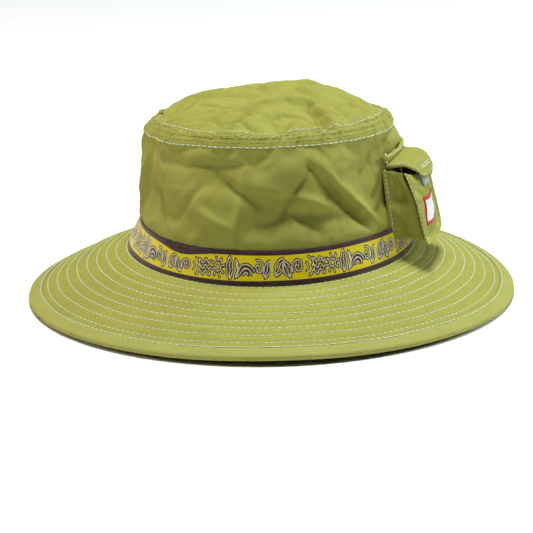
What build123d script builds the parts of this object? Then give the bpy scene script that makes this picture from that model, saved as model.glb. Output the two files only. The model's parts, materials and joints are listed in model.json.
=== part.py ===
"""Sun hat with a soft oval crown, a wide sloping brim, a woven hat band and a bellows pocket.

The hat stands on the edge of its brim. The wearer looks along -Y, +X is the wearer's left and +Z is up.
The pocket is on the left, turned a little to the front. The origin is in the plane that the brim rests
on, under the middle of the crown.
All sizes are in millimetres. Each piece of cloth, tape or thread is a closed solid in a node of its own.
"""

import math
import os

from build123d import *

# ---------------------------------------------------------------- driving dimensions
head_half_width = 87.0  # half of the crown's base, across the head (X)
head_half_length = 99.0  # half of the crown's base, front to back (Y)
crown_height = 76.0  # wall, from the brim to where the shoulder starts
crown_taper = 9.0  # how far the wall leans in over that height
seam_in, seam_up = 4.5, 5.5  # from the top of the wall to the seam of the top panel
shoulder_in, shoulder_up = 4.0, 3.7  # from that seam to where the top panel turns flat
dome_rise = 10.3  # top panel, above its own shoulder

brim_reach = 62.0  # brim's width, measured level
brim_drop = 28.5  # fall of the brim's upper face from crown to edge
binding_width = 8.0  # tape folded over the brim's edge
binding_cloth = 0.6

cloth = 0.8  # one ply of shell fabric
interlining_thickness = 0.8
tape_thickness = 0.5
tape_width = 12.0
thread = 0.35  # how far a stitched row stands on the cloth
thread_width = 0.5
ply_gap = 0.05  # air between two plies that lie on each other

sweatband_height = 35.0
sweatband_thickness = 1.2
ribbon_width = 18.0
ribbon_thickness = 0.6
ribbon_join = 0.6  # between the band's two ends, behind the pocket

brim_rows = 8  # stitched rows between the first row and the binding
first_row = 8.0  # level distance from the crown to the first of them
last_row = 50.8
row_in_binding = 1.0  # the binding's own row, from the tape's inner edge
seam_row = 1.6  # row at the foot of the hat band

pocket_turn = 18.0  # degrees that the pocket faces forward of the wearer's left
pocket_width = 54.0
pocket_bottom_above_brim = 11.0
pocket_front_height = 39.0
gusset_top_rise = 4.0  # gusset's top edge, at the crown above the front
gusset_bottom_radius = 6.0
pocket_depth_bottom = 20.0  # from the crown to the front's forward edge
pocket_depth_top = 15.5
pocket_depth_loss = 5.5  # how much shallower the pocket is at its rear edge
front_bulge_bottom = 1.5  # rise of the curved front between its side edges
front_bulge_top = 6.5
front_overhang = 2.0  # pinched seam that stands out past the gusset

flap_length = 26.0
flap_root_width = 54.0
flap_tip_width = 24.0
flap_droop = 16.0  # degrees below level
flap_hinge_above_front = 8.0
flap_root_gap = 1.0
flap_corner_radius = 6.0
seam_fold_height = 4.2
seam_fold_thickness = 1.5
hinge_clearance = 1.6  # from the sewn fold to the line that the flap turns about

hook_size = (7.0, 20.0, 1.2)  # along the flap, across it, thick
loop_height, loop_width, loop_thickness = 10.0, 20.0, 1.2
label_height, label_width, label_thickness = 17.0, 30.0, 0.4
label_above_bottom = 7.0
care_label_width, care_label_height, care_label_thickness = 22.0, 26.0, 0.3

# ---------------------------------------------------------------- derived places
brim_slope = brim_drop / brim_reach
ply_rise = cloth * math.hypot(1.0, brim_slope)  # upright thickness of a ply on the slope
lining_rise = interlining_thickness * math.hypot(1.0, brim_slope)
binding_rise = binding_cloth * math.hypot(1.0, brim_slope)
brim_stack = 2 * ply_rise + lining_rise + 2 * ply_gap
foot_cut = 0.45  # taken off the binding's lowest corner, so that the hat rests on a flat
crown_base = (
    brim_drop
    + brim_stack
    + ply_gap
    + binding_rise
    + binding_cloth * brim_slope
    - foot_cut
)
wall_top = crown_base + crown_height
seam_z = wall_top + seam_up
shoulder_z = seam_z + shoulder_up
wall_line = [(0.0, crown_base), (crown_taper, wall_top)]
side_line = wall_line + [(crown_taper + seam_in, seam_z)]
top_line = [
    (crown_taper + seam_in, seam_z),
    (crown_taper + seam_in + shoulder_in, shoulder_z),
]
far = 400.0  # larger than the hat

pocket_bottom = crown_base + pocket_bottom_above_brim
front_top = pocket_bottom + pocket_front_height
gusset_top = front_top + gusset_top_rise
hinge_z = front_top + flap_hinge_above_front


def wall_in(z):
    """How far the wall's outer face has leaned in at height z."""
    return crown_taper * (z - crown_base) / crown_height


def wall_x(z, y=0.0):
    """Distance from the middle of the hat to the wall's outer face, the way the pocket faces.

    z is the height, and y is the place across the pocket.
    """
    a = head_half_width - wall_in(z)
    b = head_half_length - wall_in(z)
    cos, sin = math.cos(math.radians(pocket_turn)), math.sin(math.radians(pocket_turn))
    square = (cos / a) ** 2 + (sin / b) ** 2
    cross = y * cos * sin * (1 / a**2 - 1 / b**2)
    rest = y**2 * ((sin / a) ** 2 + (cos / b) ** 2) - 1
    return (-cross + math.sqrt(cross**2 - square * rest)) / square


hinge_x = wall_x(hinge_z) + ply_gap + seam_fold_thickness + hinge_clearance
to_pocket = Rot(0, 0, -pocket_turn)  # places a piece that is drawn with the pocket facing +X

# ---------------------------------------------------------------- helpers


def oval(inset, z, grow=0.0):
    """Face of the hat's oval at height z, inset from the crown's base."""
    return Pos(0, 0, z) * Ellipse(
        head_half_width - inset + grow, head_half_length - inset + grow
    )


def stack(line, grow=0.0):
    """Solid through the ovals of a profile line of (inset, height)."""
    return loft([oval(inset, z, grow) for inset, z in line], ruled=True)


def shell(line, outside, inside):
    """Wall along a profile line, between two distances from the crown's outer face."""
    return stack(line, outside) - stack(line, inside)


def extended_wall(low, high):
    """Profile line of the wall, run on to the two heights."""
    return [(wall_in(low), low), (wall_in(high), high)]


def slab(z_low, z_high):
    return Pos(0, 0, (z_low + z_high) / 2) * Box(far, far, z_high - z_low)


def ring(inset_outer, inset_inner):
    """Upright ring between two ovals, taller than the hat."""
    tall = [(inset_outer, -far / 2), (inset_outer, far / 2)]
    hole = [(inset_inner, -far / 2), (inset_inner, far / 2)]
    return stack(tall) - stack(hole)


def under_slope(lift):
    """Solid below the brim's upper face, moved up by lift."""
    out, into = brim_reach + 8.0, 8.0
    low = crown_base - out * brim_slope + lift
    high = crown_base + into * brim_slope + lift
    return stack([(-out, low - 30.0), (-out, low), (into, high)])


def brim_ply(top, bottom, inner, outer):
    """Sloping ring between two lifts of the brim's upper face and two level distances from the crown."""
    return (under_slope(top) - under_slope(bottom)) & ring(-outer, -inner)


def save(name, shape):
    export_step(shape, f"parts/{name}.step")


# ---------------------------------------------------------------- crown


def crown_side():
    """Both halves of the wall and its share of the shoulder, seamed at the wearer's left and right."""
    line = [(wall_in(crown_base - 1), crown_base - 1)] + side_line[1:]
    wall = shell(line, 0.0, -cloth) - under_slope(ply_gap)
    front = wall & Pos(0, -far / 2, 0) * Box(far, far, far * 2)
    back = wall & Pos(0, far / 2, 0) * Box(far, far, far * 2)
    return front, back


def dome(drop):
    """Solid under the top panel's dome, lowered by drop."""
    inset = top_line[1][0]
    shares = (1.0, 0.9, 0.75, 0.55, 0.32, 0.1)
    faces = []
    for share in shares:
        z = shoulder_z + dome_rise * (1 - share**2.2) - drop
        faces.append(
            Pos(0, 0, z)
            * Ellipse(
                (head_half_width - inset) * share, (head_half_length - inset) * share
            )
        )
    return loft(faces)


def crown_top():
    """Oval top panel: a shoulder that meets the wall's seam, and a low dome."""
    rim = shell(top_line, 0.0, -cloth * 1.3)
    inset = top_line[1][0]
    lip = stack([(inset, shoulder_z), (inset, shoulder_z + dome_rise + 1)])
    cap = dome(0.0) - dome(cloth) & lip
    return rim + cap


def crown_seam_tape():
    """Tape inside the shoulder, over the seam of the top panel."""
    line = [(crown_taper + 1.0, wall_top + 1.2)] + top_line
    outside = -(cloth * 1.3 + 2 * ply_gap)
    return shell(line, outside, outside - tape_thickness)


def side_seam_tape(side):
    """Tape inside the wall, over a side seam. side is 1 on the wearer's left and -1 on the right."""
    line = extended_wall(crown_base + 2.0, wall_top - 1.0)
    outside = -(cloth + ply_gap)
    strip = shell(line, outside, outside - tape_thickness)
    return strip & Pos(side * far / 2, 0, 0) * Box(far, tape_width, far * 2)


def row_on(line, z_middle):
    """Stitched row round the crown at one height."""
    half = thread_width / 2
    round_the_hat = shell(line, ply_gap + thread, ply_gap)
    return round_the_hat & slab(z_middle - half, z_middle + half)


def crown_topstitching():
    """White rows on both sides of the shoulder."""
    return Compound(
        [row_on(side_line[1:], wall_top + 1.3), row_on(top_line, shoulder_z - 0.5)]
    )


def crown_seam_stitching():
    """Rows in the cloth's own colour, between the white ones."""
    return Compound(
        [
            row_on(side_line[1:], wall_top + 3.0),
            row_on(side_line[1:], seam_z - 0.6),
            row_on(top_line, seam_z + 1.3),
        ]
    )


# ---------------------------------------------------------------- inside of the crown

band_gap = cloth + tape_thickness + 4 * ply_gap
band_low = crown_base - brim_stack
band_high = band_low + sweatband_height


def sweatband():
    """Band round the head, sewn to the brim's inner edge and free at its top."""
    line = extended_wall(band_low, band_high)
    return shell(line, -band_gap, -band_gap - sweatband_thickness)


def sweatband_stitching():
    low = band_low + 2.0
    line = extended_wall(low, low + thread_width)
    outside = -band_gap - sweatband_thickness - ply_gap
    return shell(line, outside, outside - thread)


def care_label():
    """Blank woven tag on the sweatband, at the back of the head."""
    low = band_low + 4.0
    line = extended_wall(low, low + care_label_height)
    outside = -band_gap - sweatband_thickness - ply_gap
    strip = shell(line, outside, outside - care_label_thickness)
    return strip & Pos(0, far / 2, 0) * Box(care_label_width, far, far * 2)


# ---------------------------------------------------------------- brim

inner_edge = ply_gap - band_gap - wall_in(band_low)  # the plies reach in to the sweatband
lining_top = -ply_rise - ply_gap
under_top = lining_top - lining_rise - ply_gap


def brim_upper():
    return brim_ply(0.0, -ply_rise, inner_edge, brim_reach)


def brim_interlining():
    """Stiff ply between the two cloth ones, cut short of the edge's fold."""
    return brim_ply(
        lining_top, lining_top - lining_rise, inner_edge + 2.0, brim_reach - 1.5
    )


def brim_under():
    return brim_ply(under_top, under_top - ply_rise, inner_edge, brim_reach)


def brim_binding():
    """Tape folded over the brim's edge, with a flat foot where the hat rests.

    It is given half a turn, so that its closing line isn't in line with that of the plies in it.
    """
    top = ply_gap + binding_rise
    bottom = -brim_stack - ply_gap - binding_rise
    inner = brim_reach - binding_width
    outside = brim_ply(top, bottom, inner, brim_reach + ply_gap + binding_cloth)
    inside = brim_ply(
        ply_gap, -brim_stack - ply_gap, inner - 1.0, brim_reach + ply_gap
    )
    return Rot(0, 0, 180) * (outside - inside - slab(-far / 2, 0.0))


def brim_row_places():
    """Level distances of the rows from the crown: the seam's row, the brim's rows, the binding's row."""
    step = (last_row - first_row) / (brim_rows - 1)
    rows = [first_row + step * i for i in range(brim_rows)]
    return [seam_row] + rows + [brim_reach - binding_width + row_in_binding]


def brim_rows_at(face, way):
    """Every row on one face of the brim. way is 1 on the upper face and -1 on the lower one.

    The lower rows are given half a turn, so that their closing lines aren't in line with the upper ones'.
    """
    made = []
    for place in brim_row_places():
        on_tape = place > brim_reach - binding_width
        start = face + way * (ply_gap + (ply_gap + binding_rise) * on_tape)
        end = start + way * thread
        low = place - thread_width / 2
        row = brim_ply(max(start, end), min(start, end), low, low + thread_width)
        made.append(Rot(0, 0, 90 - 90 * way) * row)
    return Compound(made)


# ---------------------------------------------------------------- hat band

ribbon_low = crown_base + 0.3
ribbon_high = ribbon_low + ribbon_width
ribbon_face = ply_gap + ribbon_thickness


def ribbon():
    """Woven band round the foot of the crown, its two ends meeting under the pocket."""
    line = extended_wall(crown_base - 1.0, ribbon_high)
    band = shell(line, ribbon_face, ply_gap) - under_slope(ply_gap)
    return band - to_pocket * Pos(far / 2, 0, 0) * Box(far, ribbon_join, far * 2)


def ribbon_stitching():
    """Rows that hold the band's two edges, on their selvedges."""
    made = []
    for z in (ribbon_low + 1.4, ribbon_high - 1.4):
        line = extended_wall(z - thread_width / 2, z + thread_width / 2)
        made.append(shell(line, ribbon_face + ply_gap + thread, ribbon_face + ply_gap))
    return Compound(made)


# ---------------------------------------------------------------- pocket


def front_plan(z, half_width, outward, bulge):
    """Plan of the space behind the pocket's front at height z."""
    inner_x = head_half_width / 2
    middle_x = wall_x(z, -pocket_width / 2) + outward - pocket_depth_loss / 2
    skew = pocket_depth_loss * half_width / pocket_width
    forward, rear = (middle_x + skew, -half_width), (middle_x - skew, half_width)
    arc = ThreePointArc(forward, (middle_x + bulge, 0), rear)
    edge = Polyline(rear, (inner_x, half_width), (inner_x, -half_width), forward)
    return Pos(0, 0, z) * make_face(edge + arc)


def behind_front(outward, half_width):
    """Space behind the pocket's front, its face moved out by outward."""
    faces = []
    for z, share in ((pocket_bottom - 6, -6 / pocket_front_height), (front_top, 1.0)):
        depth = pocket_depth_bottom + (pocket_depth_top - pocket_depth_bottom) * share
        bulge = front_bulge_bottom + (front_bulge_top - front_bulge_bottom) * share
        faces.append(front_plan(z, half_width, depth + outward, bulge))
    return loft(faces, ruled=True)


def upright(width, z_low, z_high, radius):
    """Block on the wearer's left, seen from there: a rectangle with round lower corners."""
    tall = Plane.YZ * Pos(0, (z_low + z_high) / 2) * Rectangle(width, z_high - z_low)
    block = extrude(tall, far / 2)
    low = block.edges().filter_by(Axis.X).sort_by(Axis.Z)[:2]
    return fillet(low, radius)


wide = pocket_width / 2 + front_overhang + 4.0
front_low = pocket_bottom - front_overhang
front_shape = upright(
    pocket_width + 2 * front_overhang,
    front_low,
    front_top,
    gusset_bottom_radius + front_overhang,
)


def on_front(inner, outer, width, z_low, z_high):
    """Piece that follows the front's face between two distances from it."""
    sheet = behind_front(outer, wide) - behind_front(inner, wide)
    window = Pos(far / 2, 0, (z_low + z_high) / 2) * Box(far, width, z_high - z_low)
    return to_pocket * (sheet & window)


def pocket_front():
    """Curved front panel, its edges standing past the gusset as a pinched seam."""
    sheet = behind_front(0.0, wide) - behind_front(-cloth, wide)
    return to_pocket * (sheet & front_shape)


def crown_space(grow):
    """Everything inside the crown's outer face, and the hat band's where it lies."""
    wall = stack(extended_wall(crown_base, wall_top), grow)
    band = stack(extended_wall(crown_base, ribbon_high), grow + ribbon_face + thread)
    return wall + band


gusset_gap = 0.3  # the front slides, so it stays clear of what it slides over


def pocket_gusset():
    """Bellows strip round three sides, from the crown to the front, open at the top."""
    outside = upright(pocket_width, pocket_bottom, gusset_top, gusset_bottom_radius)
    inner_width = pocket_width - 2 * cloth
    inner_radius = gusset_bottom_radius - cloth
    inside = upright(inner_width, pocket_bottom + cloth, gusset_top + 1, inner_radius)
    rise = math.degrees(math.atan2(gusset_top_rise, pocket_depth_top))
    corner_x = wall_x(front_top, pocket_width / 2)
    lid = Pos(corner_x, 0, gusset_top) * Rot(0, rise, 0) * Pos(0, 0, far / 2)
    strip = outside - inside - lid * Box(far, far, far)
    room = behind_front_full(-cloth - gusset_gap)
    return to_pocket * (strip & room) - crown_space(2 * ply_gap)


def behind_front_full(outward):
    """As behind_front, run on above the front's top edge."""
    faces = []
    for z, share in ((pocket_bottom - 6, -6 / pocket_front_height), (front_top, 1.0)):
        depth = pocket_depth_bottom + (pocket_depth_top - pocket_depth_bottom) * share
        bulge = front_bulge_bottom + (front_bulge_top - front_bulge_bottom) * share
        faces.append(front_plan(z, wide, depth + outward, bulge))
    above = Pos(0, 0, gusset_top_rise + 1) * faces[1]
    return loft(faces, ruled=True) + loft([faces[1], above], ruled=True)


def pocket_loop_tape():
    high = front_top - 3.0
    return on_front(
        ply_gap, ply_gap + loop_thickness, loop_width, high - loop_height, high
    )


def pocket_label():
    low = pocket_bottom + label_above_bottom
    return on_front(
        ply_gap, ply_gap + label_thickness, label_width, low, low + label_height
    )


def pocket_front_stitching():
    """Row along the pinched seam, down both sides and under the front."""
    inset = front_overhang / 2 + 0.4
    outer = upright(
        pocket_width + 2 * front_overhang - 2 * inset,
        front_low + inset,
        front_top + 1,
        gusset_bottom_radius + front_overhang - inset,
    )
    inner = upright(
        pocket_width + 2 * front_overhang - 2 * inset - 2 * thread_width,
        front_low + inset + thread_width,
        front_top + 2,
        gusset_bottom_radius + front_overhang - inset - thread_width,
    )
    sheet = behind_front(ply_gap + thread, wide) - behind_front(ply_gap, wide)
    row = sheet & (outer - inner) & slab(-far / 2, front_top - 0.2)
    return to_pocket * row


def pocket_gusset_stitching():
    """Row on the gusset's two sides, beside the crown."""
    made = []
    low, high = pocket_bottom + gusset_bottom_radius, gusset_top - 1.0
    for side in (-1, 1):
        y = side * (pocket_width / 2 + ply_gap + thread / 2)
        foot = wall_x(low, y) + ribbon_face + 2.5
        head = wall_x(high, y) + 2.5
        path = Plane.XZ * make_face(
            Polyline(
                (foot, low),
                (foot + thread_width, low),
                (head + thread_width, high),
                (head, high),
                close=True,
            )
        )
        made.append(to_pocket * Pos(0, y + thread / 2, 0) * extrude(path, thread))
    return Compound(made)


# ---------------------------------------------------------------- flap

flap_place = to_pocket * Pos(hinge_x, 0, hinge_z) * Rot(0, flap_droop, 0)


def flap_outline(shrink=0.0, start=flap_root_gap):
    """Tongue-shaped outline in the flap's own plane, X along it and Y across it."""
    root = flap_root_width / 2 - shrink
    tip = flap_tip_width / 2 - shrink * 0.8
    end = flap_length - shrink
    flat = make_face(
        Polyline((start, -root), (end, -tip), (end, tip), (start, root), close=True)
    )
    corners = flat.vertices().sort_by(Axis.X)[-2:]
    return fillet(corners, flap_corner_radius)


def flap_ply(low, high, shrink=0.0, start=flap_root_gap):
    """Ply of the flap between two heights over its own plane."""
    return flap_place * Pos(0, 0, low) * extrude(flap_outline(shrink, start), high - low)


def flap_outer():
    return flap_ply(ply_gap / 2, cloth)


def flap_facing():
    return flap_ply(-cloth, -ply_gap / 2)


def flap_hook_tape():
    """Hook tape under the flap's tip."""
    along, across, thick = hook_size
    middle = flap_length - 1.5 - along / 2
    low = -cloth - ply_gap - thick
    return flap_place * Pos(middle, 0, low + thick / 2) * Box(along, across, thick)


def flap_topstitching():
    """Row round the flap's three free sides."""
    low = cloth + ply_gap
    start = flap_root_gap + 1.0
    outer = flap_ply(low, low + thread, 3.0, start)
    inner = flap_ply(low - 1, low + thread + 1, 3.0 + thread_width, start - 0.5)
    return outer - inner


def flap_seam_fold():
    """Folded edge of the flap, sewn to the crown along its curve, above the hinge line."""
    low, high = hinge_z + 0.6, hinge_z + 0.6 + seam_fold_height
    strip = shell(extended_wall(low, high), ply_gap + seam_fold_thickness, ply_gap)
    return strip & to_pocket * Pos(far / 2, 0, 0) * Box(far, flap_root_width, far * 2)


def flap_hinge_stitching():
    middle = hinge_z + 0.6 + seam_fold_height / 2
    line = extended_wall(middle - thread_width / 2, middle + thread_width / 2)
    face = ply_gap + seam_fold_thickness + ply_gap
    row = shell(line, face + thread, face)
    return row & to_pocket * Pos(far / 2, 0, 0) * Box(far, flap_root_width - 2.0, far * 2)


# ---------------------------------------------------------------- every node


def main():
    os.makedirs("parts", exist_ok=True)
    front, back = crown_side()
    save("crown_side_front", front)
    save("crown_side_back", back)
    save("crown_top", crown_top())
    save("crown_seam_tape", crown_seam_tape())
    save("side_seam_tape_left", side_seam_tape(1))
    save("side_seam_tape_right", side_seam_tape(-1))
    save("crown_topstitching", crown_topstitching())
    save("crown_seam_stitching", crown_seam_stitching())
    save("sweatband", sweatband())
    save("sweatband_stitching", sweatband_stitching())
    save("care_label", care_label())
    save("brim_upper", brim_upper())
    save("brim_interlining", brim_interlining())
    save("brim_under", brim_under())
    save("brim_binding", brim_binding())
    save("brim_topstitching", brim_rows_at(0.0, 1))
    save("brim_understitching", brim_rows_at(-brim_stack, -1))
    save("ribbon", ribbon())
    save("ribbon_stitching", ribbon_stitching())
    save("pocket_front", pocket_front())
    save("pocket_gusset", pocket_gusset())
    save("pocket_loop_tape", pocket_loop_tape())
    save("pocket_label", pocket_label())
    save("pocket_front_stitching", pocket_front_stitching())
    save("pocket_gusset_stitching", pocket_gusset_stitching())
    save("flap_outer", flap_outer())
    save("flap_facing", flap_facing())
    save("flap_hook_tape", flap_hook_tape())
    save("flap_topstitching", flap_topstitching())
    save("flap_seam_fold", flap_seam_fold())
    save("flap_hinge_stitching", flap_hinge_stitching())
    print(f"crown base {crown_base:.2f}, wall top {wall_top:.2f}, seam {seam_z:.2f}")
    hinge = to_pocket * Pos(hinge_x, 0, hinge_z)
    print(f"flap hinge {hinge.position}, pocket bottom {pocket_bottom:.2f}")
    print(f"sweatband from {band_low:.2f} to {band_high:.2f}, front top {front_top:.2f}")


main()
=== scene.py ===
# %% [markdown]
# # A soft sun hat
# The imported model gives the hat's bodies, sizes and joints. Everything here is dressed round it: each soft
# piece is made again as real cloth, in the same place, and most ride on the same body. Lengths are in metres.

# %% Load the frame
import json
import math
import bpy
import numpy as np
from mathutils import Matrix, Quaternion, Vector
from mathutils.kdtree import KDTree


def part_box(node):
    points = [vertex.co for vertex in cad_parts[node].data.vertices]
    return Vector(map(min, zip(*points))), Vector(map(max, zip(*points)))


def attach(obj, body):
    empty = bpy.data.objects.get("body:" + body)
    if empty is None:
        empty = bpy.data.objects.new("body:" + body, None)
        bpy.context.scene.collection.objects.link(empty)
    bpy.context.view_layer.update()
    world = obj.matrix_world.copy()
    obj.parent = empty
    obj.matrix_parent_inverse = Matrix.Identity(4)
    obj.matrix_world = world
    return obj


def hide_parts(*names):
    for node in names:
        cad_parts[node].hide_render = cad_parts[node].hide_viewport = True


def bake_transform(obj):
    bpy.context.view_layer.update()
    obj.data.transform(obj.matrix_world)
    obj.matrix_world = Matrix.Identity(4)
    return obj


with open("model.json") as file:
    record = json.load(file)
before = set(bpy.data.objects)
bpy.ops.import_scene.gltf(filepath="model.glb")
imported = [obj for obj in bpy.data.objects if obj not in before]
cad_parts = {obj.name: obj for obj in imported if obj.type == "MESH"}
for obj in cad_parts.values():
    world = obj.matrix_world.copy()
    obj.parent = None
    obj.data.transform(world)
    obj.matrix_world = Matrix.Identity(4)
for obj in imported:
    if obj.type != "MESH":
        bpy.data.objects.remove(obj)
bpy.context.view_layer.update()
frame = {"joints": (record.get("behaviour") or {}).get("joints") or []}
mm = 0.001
HAT, FRONT, FLAP = "hat", "pocket_front", "pocket_flap"

# %% [markdown]
# ## The hat's own measures
# Every piece of cloth follows one oval: the foot of the crown, moved out for the brim and in for the crown.
# Reading that oval and the heights from the frame keeps the cloth where the hat's own pieces are.

# %% Measures of the crown and brim
half_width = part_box("crown_side_front")[1].x
half_length = -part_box("crown_side_front")[0].y
foot_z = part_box("crown_side_front")[0].z
seam_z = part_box("crown_side_front")[1].z
seam_inset = half_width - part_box("crown_top")[1].x
shoulder_height = 5.5 * mm
wall_top_z = seam_z - shoulder_height
wall_inset = seam_inset - 4.5 * mm
panel_inset = seam_inset + 4.0 * mm
panel_z = seam_z + 0.9 * mm
dome_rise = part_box("crown_top")[1].z - panel_z - 2.0 * mm
brim_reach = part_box("brim_upper")[1].x - half_width
brim_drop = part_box("brim_upper")[1].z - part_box("brim_upper")[0].z
brim_stack = 2.6 * mm
joints = {j["name"]: j for j in frame["joints"]}
hinge = joints["flap_hinge"]["pos_m"]
pocket_angle = math.atan2(hinge[1], hinge[0])
pocket_half = 27 * mm
print(f"oval {half_width:.4f} by {half_length:.4f}, brim reach {brim_reach:.4f}, drop {brim_drop:.4f}")

# %% Places on the oval


def turn_of(count):
    """Angles once round the hat."""
    return np.arange(count) * 2 * math.pi / count


def outward_at(angle):
    """Level direction out of the hat."""
    return np.stack([np.cos(angle), np.sin(angle), 0 * angle], -1)


def oval_point(angle, inset, z):
    """Points of the oval moved in by inset, or out where it is negative, at a height."""
    x, y = (half_width - inset) * np.cos(angle), (half_length - inset) * np.sin(angle)
    return np.stack([x, y, z + 0 * x], -1)


def wall_inset_at(z):
    """How far the plain wall leans in at a height."""
    return wall_inset * (z - foot_z) / (wall_top_z - foot_z)


def away_from(angle, middle):
    """Angle from a middle direction, between minus and plus half a turn."""
    return np.angle(np.exp(1j * (np.asarray(angle) - middle)))


def half_turn(degrees):
    """The same angle between -180 and 180 degrees."""
    return (degrees + 180) % 360 - 180


print("girth", round(2 * math.pi * (half_width + half_length) / 2, 4), "wall top", round(wall_top_z, 4))

# %% [markdown]
# ## Soft noise
# Cloth is never even. A smooth noise that repeats round the hat gives waves, creases and puckers without a
# seam line. It is made on a grid of seeded random values and read with a smooth curve between them, so that
# it is the same each time.

# %% Noise that closes on itself round the hat


def smooth_noise(u, v, cells, seed, wrap=True):
    """Noise from -1 to 1. u runs once round for 0 to 1, v is in cells; cells is how many there are round."""
    table = np.random.RandomState(seed).uniform(-1, 1, (cells, 257))
    a, b = u * cells, v
    i, j = np.floor(a).astype(int), np.floor(b).astype(int)
    s, t = a - i, b - j
    s, t = s * s * (3 - 2 * s), t * t * (3 - 2 * t)
    if wrap:
        i0, i1 = i % cells, (i + 1) % cells
    else:
        i0, i1 = np.clip(i, 0, cells - 1), np.clip(i + 1, 0, cells - 1)
    j0, j1 = j % 257, (j + 1) % 257
    low = table[i0, j0] * (1 - s) + table[i1, j0] * s
    high = table[i0, j1] * (1 - s) + table[i1, j1] * s
    return low * (1 - t) + high * t


def bump(x, middle, width):
    """A smooth hill of height 1 at middle."""
    return np.exp(-(((x - middle) / width) ** 2))


sample = smooth_noise(np.linspace(0, 1, 200), np.zeros(200), 12, 1)
print("noise from", round(float(sample.min()), 2), "to", round(float(sample.max()), 2))

# %% [markdown]
# ## Meshes from rings
# Most pieces of a hat go round it, so they are built as closed loops of points joined by strips of faces. A
# piece whose loops also close on each other is a solid with no open edge, as a real ply of cloth is.

# %% Build meshes from loops and grids of points


def new_object(name, points, faces, uv=None):
    """Object with smooth faces. uv gives each point its place on the flat cloth, in metres."""
    mesh = bpy.data.meshes.new(name)
    mesh.from_pydata([tuple(p) for p in points], [], faces)
    mesh.polygons.foreach_set("use_smooth", [True] * len(mesh.polygons))
    if uv is not None:
        layer = mesh.uv_layers.new(name="cloth")
        corners = np.zeros(len(mesh.loops), int)
        mesh.loops.foreach_get("vertex_index", corners)
        layer.data.foreach_set("uv", np.asarray(uv, np.float32)[corners].ravel())
    mesh.update()
    made = bpy.data.objects.new(name, mesh)
    bpy.context.scene.collection.objects.link(made)
    return made


def strip_faces(rings, round_count, closed_round=True, closed_across=True):
    """Quads between neighbouring rings of round_count points."""
    faces = []
    across = rings if closed_across else rings - 1
    around = round_count if closed_round else round_count - 1
    for r in range(across):
        a, b = r * round_count, ((r + 1) % rings) * round_count
        for c in range(around):
            d = (c + 1) % round_count
            faces.append((a + c, a + d, b + d, b + c))
    return faces


def ring_solid(name, rings, uv):
    """Closed solid whose section's points each run once round the hat."""
    rings, uv = np.asarray(rings), np.asarray(uv)
    faces = strip_faces(len(rings), rings.shape[1])
    return new_object(name, rings.reshape(-1, 3), faces, uv.reshape(-1, 2))


def sheet_solid(name, face, back, uv):
    """Closed solid between two matching grids of points; face is the side that is seen."""
    rows, cols = face.shape[:2]
    points = np.concatenate([face.reshape(-1, 3), back.reshape(-1, 3)])
    half = rows * cols
    faces = []
    for r in range(rows - 1):
        for c in range(cols - 1):
            a = r * cols + c
            faces.append((a, a + 1, a + cols + 1, a + cols))
            faces.append((half + a, half + a + cols, half + a + cols + 1, half + a + 1))
    edge = list(range(cols)) + [r * cols + cols - 1 for r in range(1, rows)]
    edge += [(rows - 1) * cols + c for c in range(cols - 2, -1, -1)]
    edge += [r * cols for r in range(rows - 2, 0, -1)]
    for a, b in zip(edge, edge[1:] + edge[:1]):
        faces.append((b, a, half + a, half + b))
    return new_object(name, points, faces, np.concatenate([uv.reshape(-1, 2)] * 2))


print("a ring of 3 by 8 points closes with", len(strip_faces(3, 8)), "faces")


# %% [markdown]
# ## Materials
# The hat's cloth is a light plain-weave cotton: fine crossed threads, a few thicker ones, and a soft dry
# surface. The weave is drawn from the piece's own cloth coordinates, so it follows the cut of each panel.
# Two crossed stretched noises give the uneven threads, and a fine checker gives the weave's bump.

# %% Helpers for node materials


def new_material(name, roughness, sheen=0.0):
    """Material with a Principled shader. Returns the material, its nodes, links and shader."""
    material = bpy.data.materials.new(name)
    material.use_nodes = True
    nodes, links = material.node_tree.nodes, material.node_tree.links
    shader = nodes["Principled BSDF"]
    shader.inputs["Roughness"].default_value = roughness
    shader.inputs["Sheen Weight"].default_value = sheen
    shader.inputs["Sheen Roughness"].default_value = 0.5
    shader.inputs["Specular IOR Level"].default_value = 0.25
    return material, nodes, links, shader


def add(nodes, kind, **values):
    """New node, with its own properties and inputs set by name."""
    node = nodes.new(kind)
    for key, value in values.items():
        if key.startswith("in_"):
            node.inputs[int(key[3:])].default_value = value
        else:
            setattr(node, key, value)
    return node


def cloth_place(nodes, links, scale):
    """Cloth coordinates, scaled apart along the two thread directions."""
    uv = add(nodes, "ShaderNodeUVMap", uv_map="cloth")
    mapping = add(nodes, "ShaderNodeMapping")
    mapping.inputs["Scale"].default_value = scale
    links.new(uv.outputs[0], mapping.inputs[0])
    return mapping.outputs[0]


print("materials before the first cloth:", len(bpy.data.materials))

# %% Colours, ramps, noise and bump


def mix_colour(nodes, links, factor, one, two):
    """Mix of two colours, or of a colour and a link."""
    mix = add(nodes, "ShaderNodeMix", data_type="RGBA")
    for socket, value in ((mix.inputs[0], factor), (mix.inputs[6], one), (mix.inputs[7], two)):
        if isinstance(value, bpy.types.NodeSocket):
            links.new(value, socket)
        else:
            socket.default_value = value
    return mix.outputs[2]


def ramp(nodes, links, source, low, high, start, end):
    """Turns the source's range from low to high into start to end."""
    node = add(nodes, "ShaderNodeMapRange", in_1=low, in_2=high, in_3=start, in_4=end)
    links.new(source, node.inputs[0])
    return node.outputs[0]


def thread_noise(nodes, links, along, across, detail):
    """Noise stretched along one thread direction of the cloth."""
    noise = add(nodes, "ShaderNodeTexNoise", in_2=1.0, in_3=detail)
    links.new(cloth_place(nodes, links, (1 / along, 1 / across, 1)), noise.inputs[0])
    return noise.outputs[0]


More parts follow.
